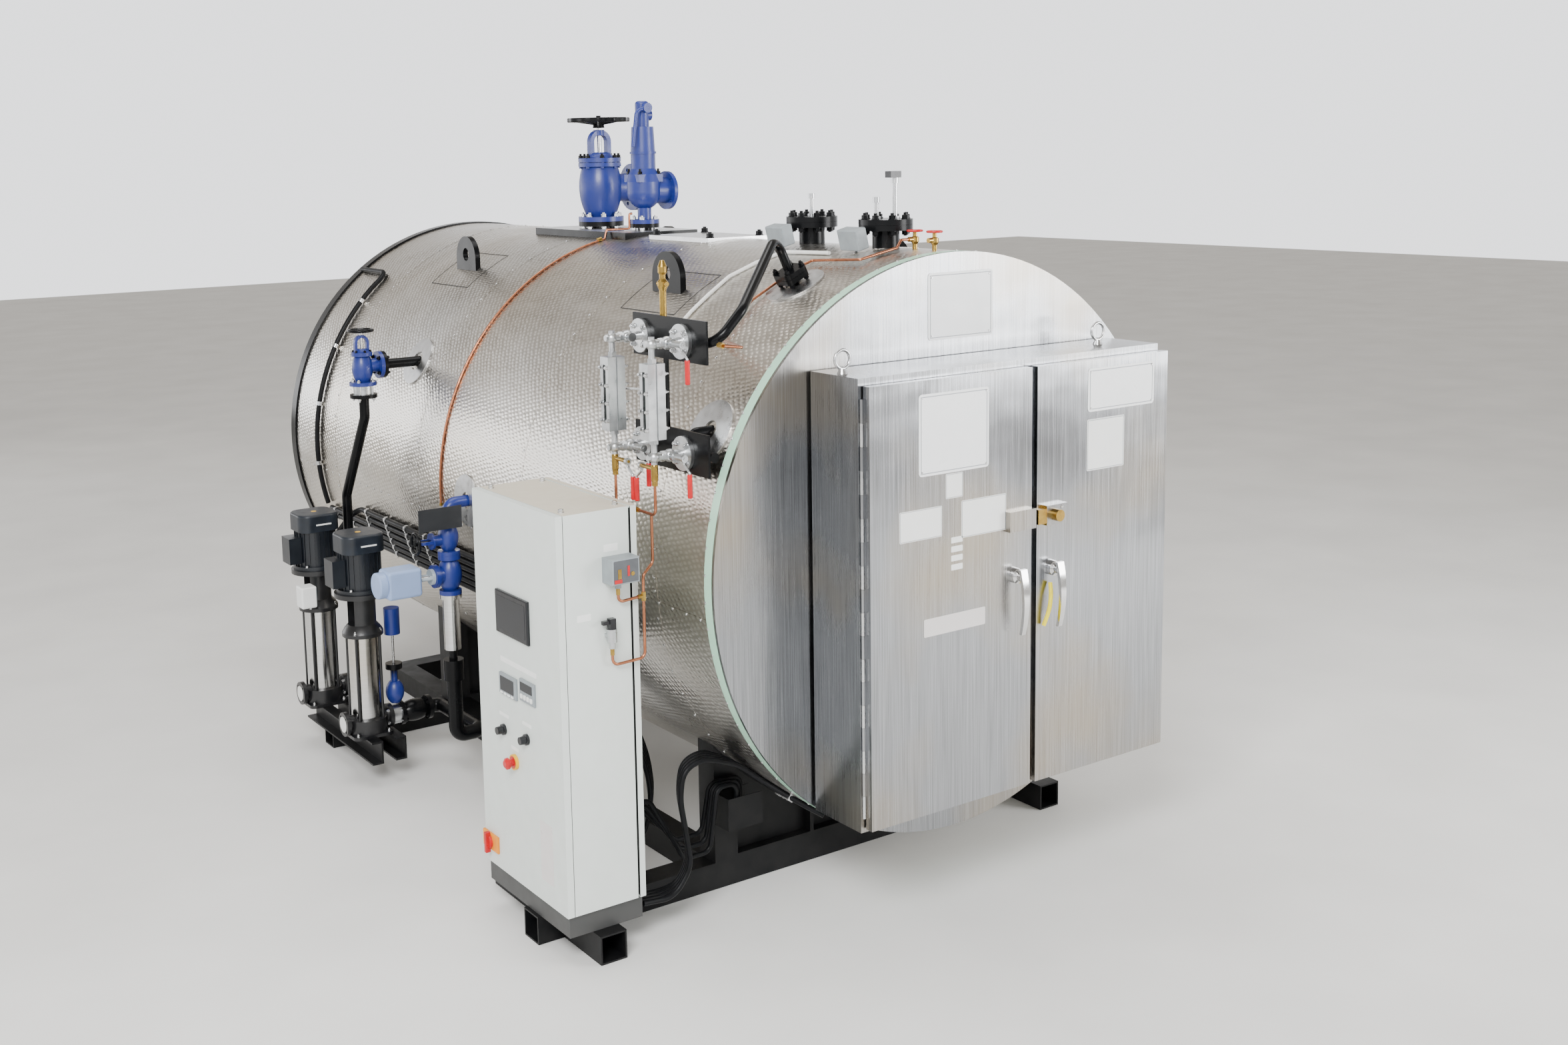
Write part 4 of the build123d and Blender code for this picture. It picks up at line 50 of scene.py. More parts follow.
# one node with its settings and the links into it
def addNode(tree, kind, settings=None, inputs=None, links=None):
    node = tree.nodes.new(kind)
    for key, value in (settings or {}).items():
        setattr(node, key, value)
    for key, value in (inputs or {}).items():
        node.inputs[key].default_value = value
    for key, source in (links or {}).items():
        tree.links.new(source, node.inputs[key])
    return node


# a material with its shader, object coordinates in metres
def startMaterial(name, color, roughness, metallic=0.0, ior=1.5, coat=0.0, coatRoughness=0.05):
    material = bpy.data.materials.new(name)
    material.use_nodes = True
    tree = material.node_tree
    shader = tree.nodes["Principled BSDF"]
    shader.inputs["Base Color"].default_value = linear(color)
    shader.inputs["Roughness"].default_value = roughness
    shader.inputs["Metallic"].default_value = metallic
    shader.inputs["IOR"].default_value = ior
    shader.inputs["Coat Weight"].default_value = coat
    shader.inputs["Coat Roughness"].default_value = coatRoughness
    place = addNode(tree, "ShaderNodeTexCoord").outputs["Object"]
    return material, tree, shader, place


def scaled(tree, place, scale):
    node = addNode(tree, "ShaderNodeMapping", inputs={"Scale": scale}, links={"Vector": place})
    return node.outputs["Vector"]


def noise(tree, place, scale, detail=3.0, roughness=0.5):
    grain = {"Scale": scale, "Detail": detail, "Roughness": roughness}
    return addNode(tree, "ShaderNodeTexNoise", inputs=grain, links={"Vector": place}).outputs["Fac"]


def spread(tree, value, low, high, fromLow=0.3, fromHigh=0.7):
    limits = {"From Min": fromLow, "From Max": fromHigh, "To Min": low, "To Max": high}
    return addNode(tree, "ShaderNodeMapRange", inputs=limits, links={"Value": value}).outputs["Result"]


def blendColor(tree, factor, first, second):
    node = addNode(tree, "ShaderNodeMix", settings={"data_type": "RGBA"})
    for socket, value in ((node.inputs[6], first), (node.inputs[7], second)):
        if isinstance(value, str):
            socket.default_value = linear(value)
        else:
            tree.links.new(value, socket)
    if isinstance(factor, float):
        node.inputs[0].default_value = factor
    else:
        tree.links.new(factor, node.inputs[0])
    return node.outputs[2]


def math2(tree, operation, first, second=None):
    node = addNode(tree, "ShaderNodeMath", settings={"operation": operation})
    for index, value in enumerate((first, second)):
        if value is None:
            continue
        if isinstance(value, (int, float)):
            node.inputs[index].default_value = value
        else:
            tree.links.new(value, node.inputs[index])
    return node.outputs[0]


def bump(tree, shader, height, strength, distance):
    node = addNode(tree, "ShaderNodeBump", inputs={"Strength": strength, "Distance": distance},
                   links={"Height": height})
    tree.links.new(node.outputs["Normal"], shader.inputs["Normal"])


# aluminium sheet with an embossed pattern of dashes, slightly dented by hand: the dashes follow the
# arc of the shell, so the angle round its axis gives their place. The real pitch of about 20 mm is
# drawn at 28 mm, so that it shows in the render
def stuccoAluminium(name, flat=False):
    material, tree, shader, place = startMaterial(name, "c9c7c3", 0.3, 1.0)
    parts = addNode(tree, "ShaderNodeSeparateXYZ", links={"Vector": place})
    risen = math2(tree, "SUBTRACT", parts.outputs["Z"], axisHeight)
    arc = math2(tree, "MULTIPLY", math2(tree, "ARCTAN2", risen, parts.outputs["X"]), shellRadius)
    across, along = (parts.outputs["X"], parts.outputs["Z"]) if flat else (arc, parts.outputs["Y"])
    squeezed = math2(tree, "MULTIPLY", across, 1.7)
    sheetPlace = addNode(tree, "ShaderNodeCombineXYZ", links={"X": squeezed, "Y": along})
    turned = addNode(tree, "ShaderNodeMapping", inputs={"Rotation": (0.0, 0.0, 0.45)},
                     links={"Vector": sheetPlace.outputs["Vector"]}).outputs["Vector"]
    cell = addNode(tree, "ShaderNodeTexVoronoi", settings={"feature": "F1", "voronoi_dimensions": "2D"},
                   inputs={"Scale": 36.0, "Randomness": 0.3}, links={"Vector": turned}).outputs["Distance"]
    dash = spread(tree, cell, 1.0, 0.0, 0.12, 0.5)
    broad = noise(tree, place, 4.0, 3.0)
    handled = noise(tree, scaled(tree, place, (1.0, 0.3, 1.0)), 7.0, 5.0)
    warmReflectionCloud = noise(tree, place, 0.9, 2.0)
    height = math2(tree, "ADD", math2(tree, "MULTIPLY", dash, 0.13), broad)
    bump(tree, shader, height, 0.7, 0.010)
    tree.links.new(spread(tree, handled, 0.22, 0.36), shader.inputs["Roughness"])
    plain = blendColor(tree, spread(tree, handled, 0.0, 1.0), "b3b1ae", "cfcecc")
    # the raised dashes are painted lighter, a painted highlight where their tops catch the light
    tone = blendColor(tree, math2(tree, "MULTIPLY", dash, 0.55), plain, "eeeeec")
    # slow warm clouds in the tone are a painted warm reflection
    paintedWarmReflection = blendColor(tree, spread(tree, warmReflectionCloud, 0.0, 0.35), tone, "c9b48e")
    tree.links.new(paintedWarmReflection, shader.inputs["Base Color"])
    return material


# stainless sheet, brushed along one axis: fine lines 1 mm apart and broader streaks run that way, and slow
# warm clouds in its tone are a painted warm reflection; the clouds also vary the roughness
def brushedSteel(name, stretch, color, low, high, bright):
    material, tree, shader, place = startMaterial(name, color, 0.3, 1.0)
    along = scaled(tree, place, stretch)
    lines = noise(tree, along, 900.0, 2.0)
    streaks = noise(tree, along, 240.0, 3.0, 0.6)
    cloud = noise(tree, place, 1.5, 3.0)
    waves = noise(tree, scaled(tree, place, (1.0, 1.0, 1.6)), 2.2, 2.0)
    height = math2(tree, "ADD", math2(tree, "MULTIPLY", lines, 0.02), waves)
    bump(tree, shader, height, 0.6, 0.007)
    mixed = math2(tree, "ADD", math2(tree, "MULTIPLY", streaks, 0.25), math2(tree, "MULTIPLY", cloud, 0.75))
    tree.links.new(spread(tree, mixed, low, high, 0.35, 0.65), shader.inputs["Roughness"])
    tone = blendColor(tree, spread(tree, streaks, 0.0, 0.7, 0.3, 0.7), color, bright)
    # slow warm clouds in the tone are a painted warm reflection
    paintedWarmReflection = blendColor(tree, spread(tree, cloud, 0.0, 0.45, 0.5, 0.75), tone, "b79f70")
    tree.links.new(paintedWarmReflection, shader.inputs["Base Color"])
    return material


# enamel or paint over metal: a slight orange peel of about 2 mm and a little dust in the tone
def paint(name, color, roughness, dust="6e6c68", amount=0.06, coat=0.0, shine=0.5):
    material, tree, shader, place = startMaterial(name, color, roughness, 0.0, 1.5, coat, 0.08)
    shader.inputs["Specular IOR Level"].default_value = shine
    peel = noise(tree, place, 480.0, 2.0)
    bump(tree, shader, peel, 0.12, 0.0006)
    cloud = noise(tree, place, 14.0, 4.0)
    tone = blendColor(tree, spread(tree, cloud, 0.0, amount), color, dust)
    tree.links.new(tone, shader.inputs["Base Color"])
    tree.links.new(spread(tree, cloud, roughness * 0.85, roughness * 1.2), shader.inputs["Roughness"])
    return material


# painted casting: grains of about 3 mm under the enamel
def castPaint(name, color, roughness, dust="39424f", amount=0.10):
    material, tree, shader, place = startMaterial(name, color, roughness, 0.0, 1.5, 0.15, 0.2)
    grain = noise(tree, place, 320.0, 4.0, 0.6)
    bump(tree, shader, grain, 0.28, 0.0012)
    cloud = noise(tree, place, 18.0, 4.0)
    tone = blendColor(tree, spread(tree, cloud, 0.0, amount), color, dust)
    tree.links.new(tone, shader.inputs["Base Color"])
    tree.links.new(spread(tree, cloud, roughness * 0.85, roughness * 1.25), shader.inputs["Roughness"])
    return material


# bare or plated metal with a fine grain
def metal(name, color, low, high, grainScale=260.0, strength=0.12, second=None):
    material, tree, shader, place = startMaterial(name, color, (low + high) / 2, 1.0)
    grain = noise(tree, place, grainScale, 3.0)
    cloud = noise(tree, place, 30.0, 4.0)
    bump(tree, shader, grain, strength, 0.0006)
    tree.links.new(spread(tree, cloud, low, high), shader.inputs["Roughness"])
    tone = blendColor(tree, spread(tree, cloud, 0.0, 1.0), color, second or color)
    tree.links.new(tone, shader.inputs["Base Color"])
    return material


# moulded plastic or rubber with a spark-eroded grain of about 1 mm
def moulded(name, color, roughness, second=None, grainScale=900.0, shine=0.5):
    material, tree, shader, place = startMaterial(name, color, roughness, 0.0, 1.46)
    shader.inputs["Specular IOR Level"].default_value = shine
    bump(tree, shader, noise(tree, place, grainScale, 2.0), 0.1, 0.0004)
    cloud = noise(tree, place, 25.0, 3.0)
    tone = blendColor(tree, spread(tree, cloud, 0.0, 1.0), color, second or color)
    tree.links.new(tone, shader.inputs["Base Color"])
    tree.links.new(spread(tree, cloud, roughness * 0.9, roughness * 1.12), shader.inputs["Roughness"])
    return material


look = {
    # embossed aluminium cladding
    "stucco": stuccoAluminium("StuccoAluminiumShell"),
    # the same sheet laid flat over the rear end
    "stuccoFlat": stuccoAluminium("StuccoAluminiumEnd", True),
    # stainless sheet with an upright grain, front plate and enclosure
    "brushedUpright": brushedSteel("BrushedStainlessUpright", (1.0, 1.0, 0.012), "85878a", 0.18, 0.34,
                                   "b4b6b9"),
    # stainless door skins, a little brighter
    "brushedDoor": brushedSteel("BrushedStainlessDoor", (1.0, 1.0, 0.012), "8e9093", 0.15, 0.30, "b9bbbf"),
    # turned stainless sleeves of the pumps
    "brushedSleeve": brushedSteel("BrightStainlessSleeve", (0.02, 0.02, 1.0), "c9c9c6", 0.10, 0.20, "dcdde0"),
    # gloss black enamel on steelwork and pipes
    "black": paint("GlossBlackPaint", "08090b", 0.24, "4a4845", 0.02, 0.0, 0.16),
    # satin black paint on the skid
    "skidBlack": paint("SatinBlackPaint", "0d0e10", 0.42, "5c5955", 0.06, 0.0, 0.2),
    # blue enamel on cast valves
    "blue": castPaint("BlueEnamelCasting", "16297a", 0.36),
    # black enamel on cast iron
    "castBlack": castPaint("BlackEnamelCasting", "101114", 0.34, "4a4845", 0.08),
    # dark blue-black paint on the motors
    "motor": paint("MotorPaint", "12161c", 0.32, "3c4650", 0.08),
    # pale grey powder coat on the cabinet
    "cabinet": paint("PaleGreyPowderCoat", "d5dcd8", 0.45, "c4c9c4", 0.25),
    # dark grey plinth
    "plinth": paint("DarkGreyPlinth", "3a3b3b", 0.5, "5a5854", 0.15),
    # bright zinc plating
    "zinc": metal("ZincPlated", "c4c6c8", 0.20, 0.34, 260.0, 0.08, "dadada"),
    # pale cast steel of the gauges
    "gauge": metal("GaugeCastSteel", "b9bcbe", 0.26, 0.42, 300.0, 0.25, "d0d2d3"),
    # brass fittings
    "brass": metal("MachinedBrass", "b99a52", 0.22, 0.36, 260.0, 0.1, "8f7238"),
    # drawn copper tube, a little tarnished
    "copper": metal("DrawnCopper", "c08263", 0.22, 0.40, 180.0, 0.08, "9c6247"),
    # red dipped plastic on the lever grips
    "red": moulded("RedDippedGrip", "c8141e", 0.30, "b01018"),
    # black rubber and conduit
    "rubber": moulded("BlackConduit", "0a0b0c", 0.42, "121316", 900.0, 0.18),
    # white plastic
    "white": moulded("WhitePlastic", "e6e7e4", 0.35, "dcdcd8"),
    # pale blue paint of the actuator
    "paleBlue": paint("PaleBluePaint", "8fa6cf", 0.38, "7f93b8", 0.3),
    # grey plastic of small boxes
    "greyBox": moulded("GreyPlasticBox", "8f979b", 0.42, "848b8f"),
    # black gloss plastic
    "blackPlastic": moulded("BlackGlossPlastic", "141518", 0.28, "1b1c20"),
    # bare label stock
    "label": paint("BareLabel", "eef0ee", 0.4, "e2e3e0", 0.3),
    # enamelled sign plates, left bare, a little cooler than the labels
    "signPlate": paint("EnamelSignPlate", "f4f6f7", 0.3, "e9ecee", 0.3),
    # pale lacquered nameplate
    "namePlate": paint("PaleNameplate", "d9d5d3", 0.3, "cfcac8", 0.4),
    # smooth mill-finish aluminium sheet
    "sheet": metal("MillAluminiumSheet", "c4c5c6", 0.24, 0.38, 120.0, 0.05, "d6d7d8"),
    # polished die-cast handles
    "polished": metal("PolishedDieCast", "d4d4d4", 0.10, 0.18, 200.0, 0.04, "dddddd"),
    # blue-grey moulded fan covers
    "fanCover": moulded("FanCoverPlastic", "161b22", 0.38, "1c232c"),
    # pale translucent plastic of the actuator's yoke
    "clear": moulded("PaleYokePlastic", "aab4bc", 0.22, "98a3ad"),
    # beige tone on the cabinet's upward faces, a painted warm reflection of the light falling on its top
    "cabinetTopWarmReflection": paint("CabinetTopPaintedReflection", "cfc7b6", 0.5, "b9b09e", 0.3),
    # dark rubber seam of the cabinet
    "seamBlack": moulded("SeamRubber", "1b1c1d", 0.6, "232425"),
    # yellow plastic of the stop and isolator plates
    "stopYellow": moulded("YellowPlastic", "e8b61a", 0.38, "dfab14"),
    # orange body of the isolator
    "orange": moulded("OrangePlastic", "f0951c", 0.38, "e48a14"),
    # dark painted shield plate
    "darkPlate": paint("DarkShieldPaint", "24262a", 0.38, "3c3e42", 0.15),
    # pale green film left along the cladding's edge
    "film": paint("PaleGreenFilm", "a9d3ba", 0.32, "98c5aa", 0.4),
    # display glass, black and glossy
    "screenGlass": moulded("DisplayGlass", "0b0e14", 0.08, "10141c", 1200.0),
    # dark green-black reflex glass of the gauges
    "gaugeGlass": moulded("ReflexGlass", "0a1210", 0.06, "121c1a", 1200.0),
    # teal side of the drive box
    "teal": moulded("TealPlastic", "2f8296", 0.38, "2a7688"),
    # bright yellow tag of soft plastic
    "tagYellow": moulded("YellowTag", "f2df1e", 0.4, "e8d418"),
    # printed border of the sign plates
    "border": paint("PrintedBorder", "8b9096", 0.4, "7d8288", 0.2),
    # smoked window of the pressure switch
    "switchWindow": moulded("SmokedWindow", "56595d", 0.10, "4c4f53", 1200.0),
}
print("materials made")

# camera at the photograph's viewpoint
cameraSetup = {
    "place": (-3.9512, -4.8364, 2.6745),
    "pitch": -8.110,
    "yaw": 33.806,
    "roll": -1.147,
    "lens": 38.18,
    "shiftX": 0.0447,
    "shiftY": -0.0876,
}


def makeCamera(setup):
    data = bpy.data.cameras.new("camera")
    data.lens = setup["lens"]
    data.sensor_width = 36.0
    data.shift_x = setup["shiftX"]
    data.shift_y = setup["shiftY"]
    data.clip_end = 60.0
    obj = bpy.data.objects.new("camera", data)
    bpy.context.collection.objects.link(obj)
    obj.location = setup["place"]
    turn = Euler((math.radians(90 + setup["pitch"]), 0.0, math.radians(-setup["yaw"])), "XYZ").to_matrix()
    roll = Euler((0.0, 0.0, math.radians(setup["roll"])), "XYZ").to_matrix()
    obj.rotation_euler = (turn @ roll).to_euler()
    bpy.context.scene.camera = obj


makeCamera(cameraSetup)


# gathers simple solids into one mesh
class Pile:
    def __init__(self):
        self.mesh = bmesh.new()

    def place(self, geometry, matrix):
        bmesh.ops.transform(self.mesh, matrix=matrix, verts=geometry)

    def box(self, centre, size, turn=None):
        made = bmesh.ops.create_cube(self.mesh, size=1.0)["verts"]
        matrix = Matrix.Translation(centre) @ (turn or Matrix.Identity(4)) @ Matrix.Diagonal((*size, 1.0))
        self.place(made, matrix)

    def span(self, low, high):
        centre = [(a + b) / 2 for a, b in zip(low, high)]
        self.box(centre, [b - a for a, b in zip(low, high)])

    def rod(self, start, end, radius, sides=24, farRadius=None):
        start, end = Vector(start), Vector(end)
        reach = end - start
        second = radius if farRadius is None else farRadius
        made = bmesh.ops.create_cone(self.mesh, cap_ends=True, segments=sides, radius1=radius,
                                     radius2=second, depth=reach.length)["verts"]
        turn = reach.to_track_quat("Z", "Y").to_matrix().to_4x4()
        self.place(made, Matrix.Translation((start + end) / 2) @ turn)
        for face in {face for vert in made for face in vert.link_faces}:
            if sides > 8 and len(face.verts) == 4:
                face.smooth = True

    # hexagon head on a washer, with its across-flats width
    def bolt(self, place, way, across, stud=0.0):
        place, way = Vector(place), Vector(way).normalized()
        thick = across * 0.12
        self.rod(place, place + way * thick, across * 0.68, 20)
        head = place + way * thick
        self.rod(head, head + way * across * 0.55, across * 0.57, 6)
        self.rod(head + way * across * 0.55, head + way * across * 0.6, across * 0.57, 6, across * 0.48)
        if stud:
            self.rod(head, head + way * (across * 0.6 + stud), across * 0.3, 14)

    # plain screw head: a short disc with a tapered top
    def screw(self, place, way, radius):
        place, way = Vector(place), Vector(way).normalized()
        self.rod(place, place + way * radius * 0.25, radius, 16)
        self.rod(place + way * radius * 0.25, place + way * radius * 0.6, radius * 0.92, 16, radius * 0.45)

    # tube along points, with closed ends
    def tube(self, points, radius, sides=14):
        points = [Vector(point) for point in points]
        loops = []
        side = None
        for index, point in enumerate(points):
            ahead = points[min(index + 1, len(points) - 1)] - points[max(index - 1, 0)]
            ahead.normalize()
            if side is None:
                side = ahead.orthogonal().normalized()
            side = (side - ahead * side.dot(ahead)).normalized()
            other = ahead.cross(side)
            turns = [2 * math.pi * part / sides for part in range(sides)]
            spots = [point + (side * math.cos(turn) + other * math.sin(turn)) * radius for turn in turns]
            loops.append([self.mesh.verts.new(spot) for spot in spots])
        for near, far in zip(loops, loops[1:]):
            for part in range(sides):
                after = (part + 1) % sides
                face = self.mesh.faces.new((near[part], near[after], far[after], far[part]))
                face.smooth = True
        self.mesh.faces.new(loops[0][::-1])
        self.mesh.faces.new(loops[-1])

    # thin sheet bent to the shell between two angles and two places along it
    def wrap(self, lowAngle, highAngle, front, back, lift, thickness, steps=48):
        grid = []
        for reach in (shellRadius + lift, shellRadius + lift + thickness):
            row = []
            for step in range(steps + 1):
                angle = math.radians(lowAngle + (highAngle - lowAngle) * step / steps)
                for y in (front, back):
                    spot = (reach * math.cos(angle), y, axisHeight + reach * math.sin(angle))
                    row.append(self.mesh.verts.new(spot))
            grid.append(row)
        inner, outer = grid
        for step in range(steps):
            a, b, c, d = 2 * step, 2 * step + 1, 2 * step + 3, 2 * step + 2
            for row, order in ((outer, (a, d, c, b)), (inner, (a, b, c, d))):
                face = self.mesh.faces.new([row[index] for index in order])
                face.smooth = True
            for first, second in ((a, d), (c, b)):
                self.mesh.faces.new((inner[first], inner[second], outer[second], outer[first]))
        for a, b in ((0, 1), (2 * steps + 1, 2 * steps)):
            self.mesh.faces.new((inner[b], inner[a], outer[a], outer[b]))

    # edges sharper than about 34 degrees stay sharp
    def finish(self, name, material, body):
        bmesh.ops.recalc_face_normals(self.mesh, faces=self.mesh.faces)
        for edge in self.mesh.edges:
            if edge.calc_face_angle(0.0) > 0.6:
                edge.smooth = False
        data = bpy.data.meshes.new(name)
        self.mesh.to_mesh(data)
        self.mesh.free()
        data.materials.append(material)
        piece = bpy.data.objects.new(name, data)
        bpy.context.collection.objects.link(piece)
        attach(piece, body)


def onShell(angle, y, lift=0.0):
    turn = math.radians(angle)
    reach = shellRadius + lift
    return Vector((reach * math.cos(turn), y, axisHeight + reach * math.sin(turn)))


def outward(angle):
    turn = math.radians(angle)
    return Vector((math.cos(turn), 0.0, math.sin(turn)))


# points of a circle round a centre, across a direction
def circlePoints(centre, way, radius, count):
    way = Vector(way).normalized()
    side = way.orthogonal().normalized()
    if abs(way.x) > 0.9:
        side = Vector((0, 1, 0))
    elif abs(way.y) > 0.9 or abs(way.z) > 0.9:
        side = Vector((1, 0, 0))
    other = way.cross(side)
    turns = [2 * math.pi * (step + 0.5) / count for step in range(count)]
    return [Vector(centre) + (side * math.cos(turn) + other * math.sin(turn)) * radius for turn in turns]


# rounded corners along a line of points
def rounded(points, bend, steps=6):
    points = [Vector(point) for point in points]
    out = [points[0]]
    for before, corner, after in zip(points, points[1:], points[2:]):
        first = (before - corner).normalized()
        second = (after - corner).normalized()
        reach = min(bend, (before - corner).length * 0.49, (after - corner).length * 0.49)
        start, end = corner + first * reach, corner + second * reach
        for step in range(steps + 1):
            share = step / steps
            out.append(start * (1 - share) ** 2 + corner * 2 * share * (1 - share) + end * share ** 2)
    out.append(points[-1])
    return out


# faces of a CAD node get one of several materials by where they lie
def dress(name, materials, choose=None):
    data = nodes[name].data
    data.materials.clear()
    for material in materials if isinstance(materials, (list, tuple)) else [materials]:
        data.materials.append(material)
    if choose:
        for face in data.polygons:
            face.material_index = int(choose(face.center, face.normal))


plainNodes = {
    "stucco": ["shell_cladding"],
    "stuccoFlat": ["rear_end_plate"],
    "brushedUpright": ["front_end_plate", "enclosure_body"],
    "brushedDoor": ["left_enclosure_door"],
    "brushedSleeve": ["pump_sleeves"],
    "sheet": ["shell_collars", "access_plate"],
    "black": ["rear_rim", "lifting_lugs", "crown_nozzles", "feed_pipe", "riser_pipe", "gauge_nozzle",
              "balance_pipe", "probe_nozzles", "control_wheel"],
    "skidBlack": ["skid_rails", "skid_cross_beams", "front_saddle", "rear_saddle", "pump_channel"],
    "castBlack": ["pump_heads", "pump_stools"],
    "blue": ["crown_valve_body", "safety_valve_body", "safety_valve_lever", "feed_valve_body"],
    "zinc": ["enclosure_hinges", "eye_bolts", "conduit_clips"],
    "polished": ["left_door_handle", "right_door_handle"],
    "plinth": ["cabinet_plinth"],
    "cabinet": ["cabinet_door"],
    "gauge": ["gauge_cocks", "gauge_glasses"],
    "rubber": ["cable_conduits"],
    "copper": ["copper_lines"],
    "brass": ["brass_fittings"],
    "white": ["signal_cable"],
    "blackPlastic": ["touch_screen"],
    "greyBox": ["controllers"],
}
for key, names in plainNodes.items():
    for name in names:
        dress(name, look[key])

# where the valves, pumps and gauges stand, in metres
crown = {"y": 1.99, "flangeTop": 2.368, "flangeUnder": 2.3235, "bonnetTop": 2.640, "wheel": 2.816}
safety = {"y": 1.6, "flangeTop": 2.363, "flangeUnder": 2.3265, "squareTop": 2.565}
feed = {"x": -1.187, "y": 2.078, "flangeTop": 1.684, "flangeUnder": 1.6135, "bonnetTop": 1.815, "port": 1.753}
station = {"x": -1.142, "y": 1.35, "stemHeight": 0.9529}
pumps = {"x": -1.37, "places": (1.765, 2.285), "port": 0.2576}
gauges = {"places": (-0.043, -0.295), "upper": 2.052, "lower": 1.681, "smallLower": 1.643, "grip": 0.0462}

dress("cover_plate", [look["sheet"], look["black"]], lambda c, n: n.z < 0.5)
dress("crown_valve_wheel", [look["black"], look["zinc"]],
      lambda c, n: math.hypot(c.x, c.y - crown["y"]) < 0.0125 and c.z < crown["wheel"] - 0.04)
dress("feed_valve_wheel", [look["black"], look["zinc"]],
      lambda c, n: math.hypot(c.x - feed["x"], c.y - feed["y"]) < 0.0075 and c.z < 1.9)
dress("pump_motors", [look["motor"], look["fanCover"]], lambda c, n: c.z > 1.0098)
dress("blue_valves", [look["blue"], look["black"], look["zinc"]],
      lambda c, n: (1 if 0.44 < c.z < 0.489 else 2 if 0.489 <= c.z < 0.616 else 0) if c.y > 1.6 else 0)
dress("control_actuator", [look["paleBlue"], look["clear"], look["zinc"]],
      lambda c, n: (2 if math.hypot(c.y - station["y"], c.z - station["stemHeight"]) < 0.0075 else 1)
      if c.x > -1.2855 else 0)
dress("check_valves", [look["gauge"], look["brushedSleeve"]], lambda c, n: c.y < 1.5)
# the lock's brass block, and its knob further forward
dress("right_enclosure_door", [look["brushedDoor"], look["brass"]],
      lambda c, n: c.y < -0.7745 and ((0.08 < c.x < 0.1285 and 1.3 < c.z < 1.5)
                                      or (0.14 < c.x < 0.195 and c.y < -0.799)))
# upward faces of the roof painted beige as a painted warm reflection, and the rubber seam behind the door
# frame
dress("cabinet_body", [look["cabinet"], look["cabinetTopWarmReflection"], look["seamBlack"]],
      lambda c, n: 1 if n.z > 0.9 and c.z > 1.52
      else 2 if -1.236 < c.x < -1.2265 and abs(c.y - 0.039) > 0.28 else 0)
dress("door_knobs", [look["blackPlastic"], look["red"], look["stopYellow"]],
      lambda c, n: 0 if c.z > 0.66 else 1 if c.x < -1.5165 else 2)
dress("isolator", [look["red"], look["orange"]], lambda c, n: c.x > -1.5158)
dress("gauge_bracket", [look["black"], look["zinc"]], lambda c, n: c.x < -1.0305)
for name, height in (("upper_cock_lever", gauges["upper"]), ("lower_cock_lever", gauges["lower"])):
    dress(name, [look["red"], look["gauge"]], lambda c, n, height=height: c.z > height - gauges["grip"])
dress("small_levers", [look["red"], look["gauge"]],
      lambda c, n: c.z < 2.2
      and c.z > ((gauges["lower"] if c.x > -1.12 else gauges["smallLower"]) - gauges["grip"]))
dress("level_probes", [look["zinc"], look["greyBox"], look["blackPlastic"]],
      lambda c, n: 1 if c.x < -0.1 else 2 if c.z > 2.553 else 0)
# switch and transmitter in front, then the shield plate, then the drive box at the far pump
dress("side_instruments", [look["greyBox"], look["gauge"], look["blackPlastic"], look["darkPlate"],
                           look["label"], look["teal"]],
      lambda c, n: (0 if c.z > 1.24 else 1 if c.z < 1.133 else 2) if c.y < 0
      else 3 if c.y < 1.6 else 5 if n.x > 0.7 else 4)
print("CAD nodes dressed")

# pale green protective film along the front edge of the cladding, lap joints and their screws
cladding = {"rounds": (-0.111, 0.89, 1.86, 2.83), "lapLines": (-173.2, -6.8, 60.0),
            "screwLines": (-173.8, -7.4, 59.4), "lapHalf": 0.016, "lift": 0.0002, "screwLift": 0.0009}
film = Pile()
film.wrap(-90, 270, shellFront + 0.0125, shellFront + 0.054, 0.0004, 0.0004, 180)
film.finish("edge_film", look["film"], "boiler")
laps = Pile()
for y in cladding["rounds"]:
    laps.wrap(-90, 270, y - cladding["lapHalf"], y + cladding["lapHalf"], cladding["lift"], 0.0005, 180)
for angle in cladding["lapLines"]:
    laps.wrap(angle - 1.0, angle, shellFront + 0.056, shellBack - 0.062, cladding["lift"], 0.0005, 3)
laps.finish("cladding_laps", look["stucco"], "boiler")
screws = Pile()
for y in cladding["rounds"]:
    for step in range(66):
        angle = -176 + step * 5.5
        if y == -0.111 and 108 < angle < 124:  # the balance nozzle stands here
            continue
        screws.screw(onShell(angle, y, cladding["screwLift"]), outward(angle), 0.0052)
for step in range(72):
    angle = -177.5 + step * 5.0
    screws.screw(onShell(angle, shellFront + 0.05, cladding["screwLift"]), outward(angle), 0.005)
for angle in cladding["screwLines"]:
    for step in range(44):
        y = shellFront + 0.09 + step * 0.086
        screws.screw(onShell(angle, y, cladding["screwLift"]), outward(angle), 0.005)
screws.finish("cladding_screws", look["zinc"], "boiler")
print("cladding details made")

up = Vector((0, 0, 1))
left = Vector((-1, 0, 0))
right = Vector((1, 0, 0))
front = Vector((0, -1, 0))


# bolts on both sides of a level flange, sizes across the flats
def flangeBolts(pile, middle, top, under, radius, count, across, stud, underStud):
    for place in circlePoints((middle[0], middle[1], top), up, radius, count):
        pile.bolt(place, up, across, stud)
        pile.bolt((place.x, place.y, under), -up, across, underStud)


# bolts on one face of a flange
def faceBolts(pile, middle, way, radius, count, across, stud):
    for place in circlePoints(middle, way, radius, count):
        pile.bolt(place, way, across, stud)


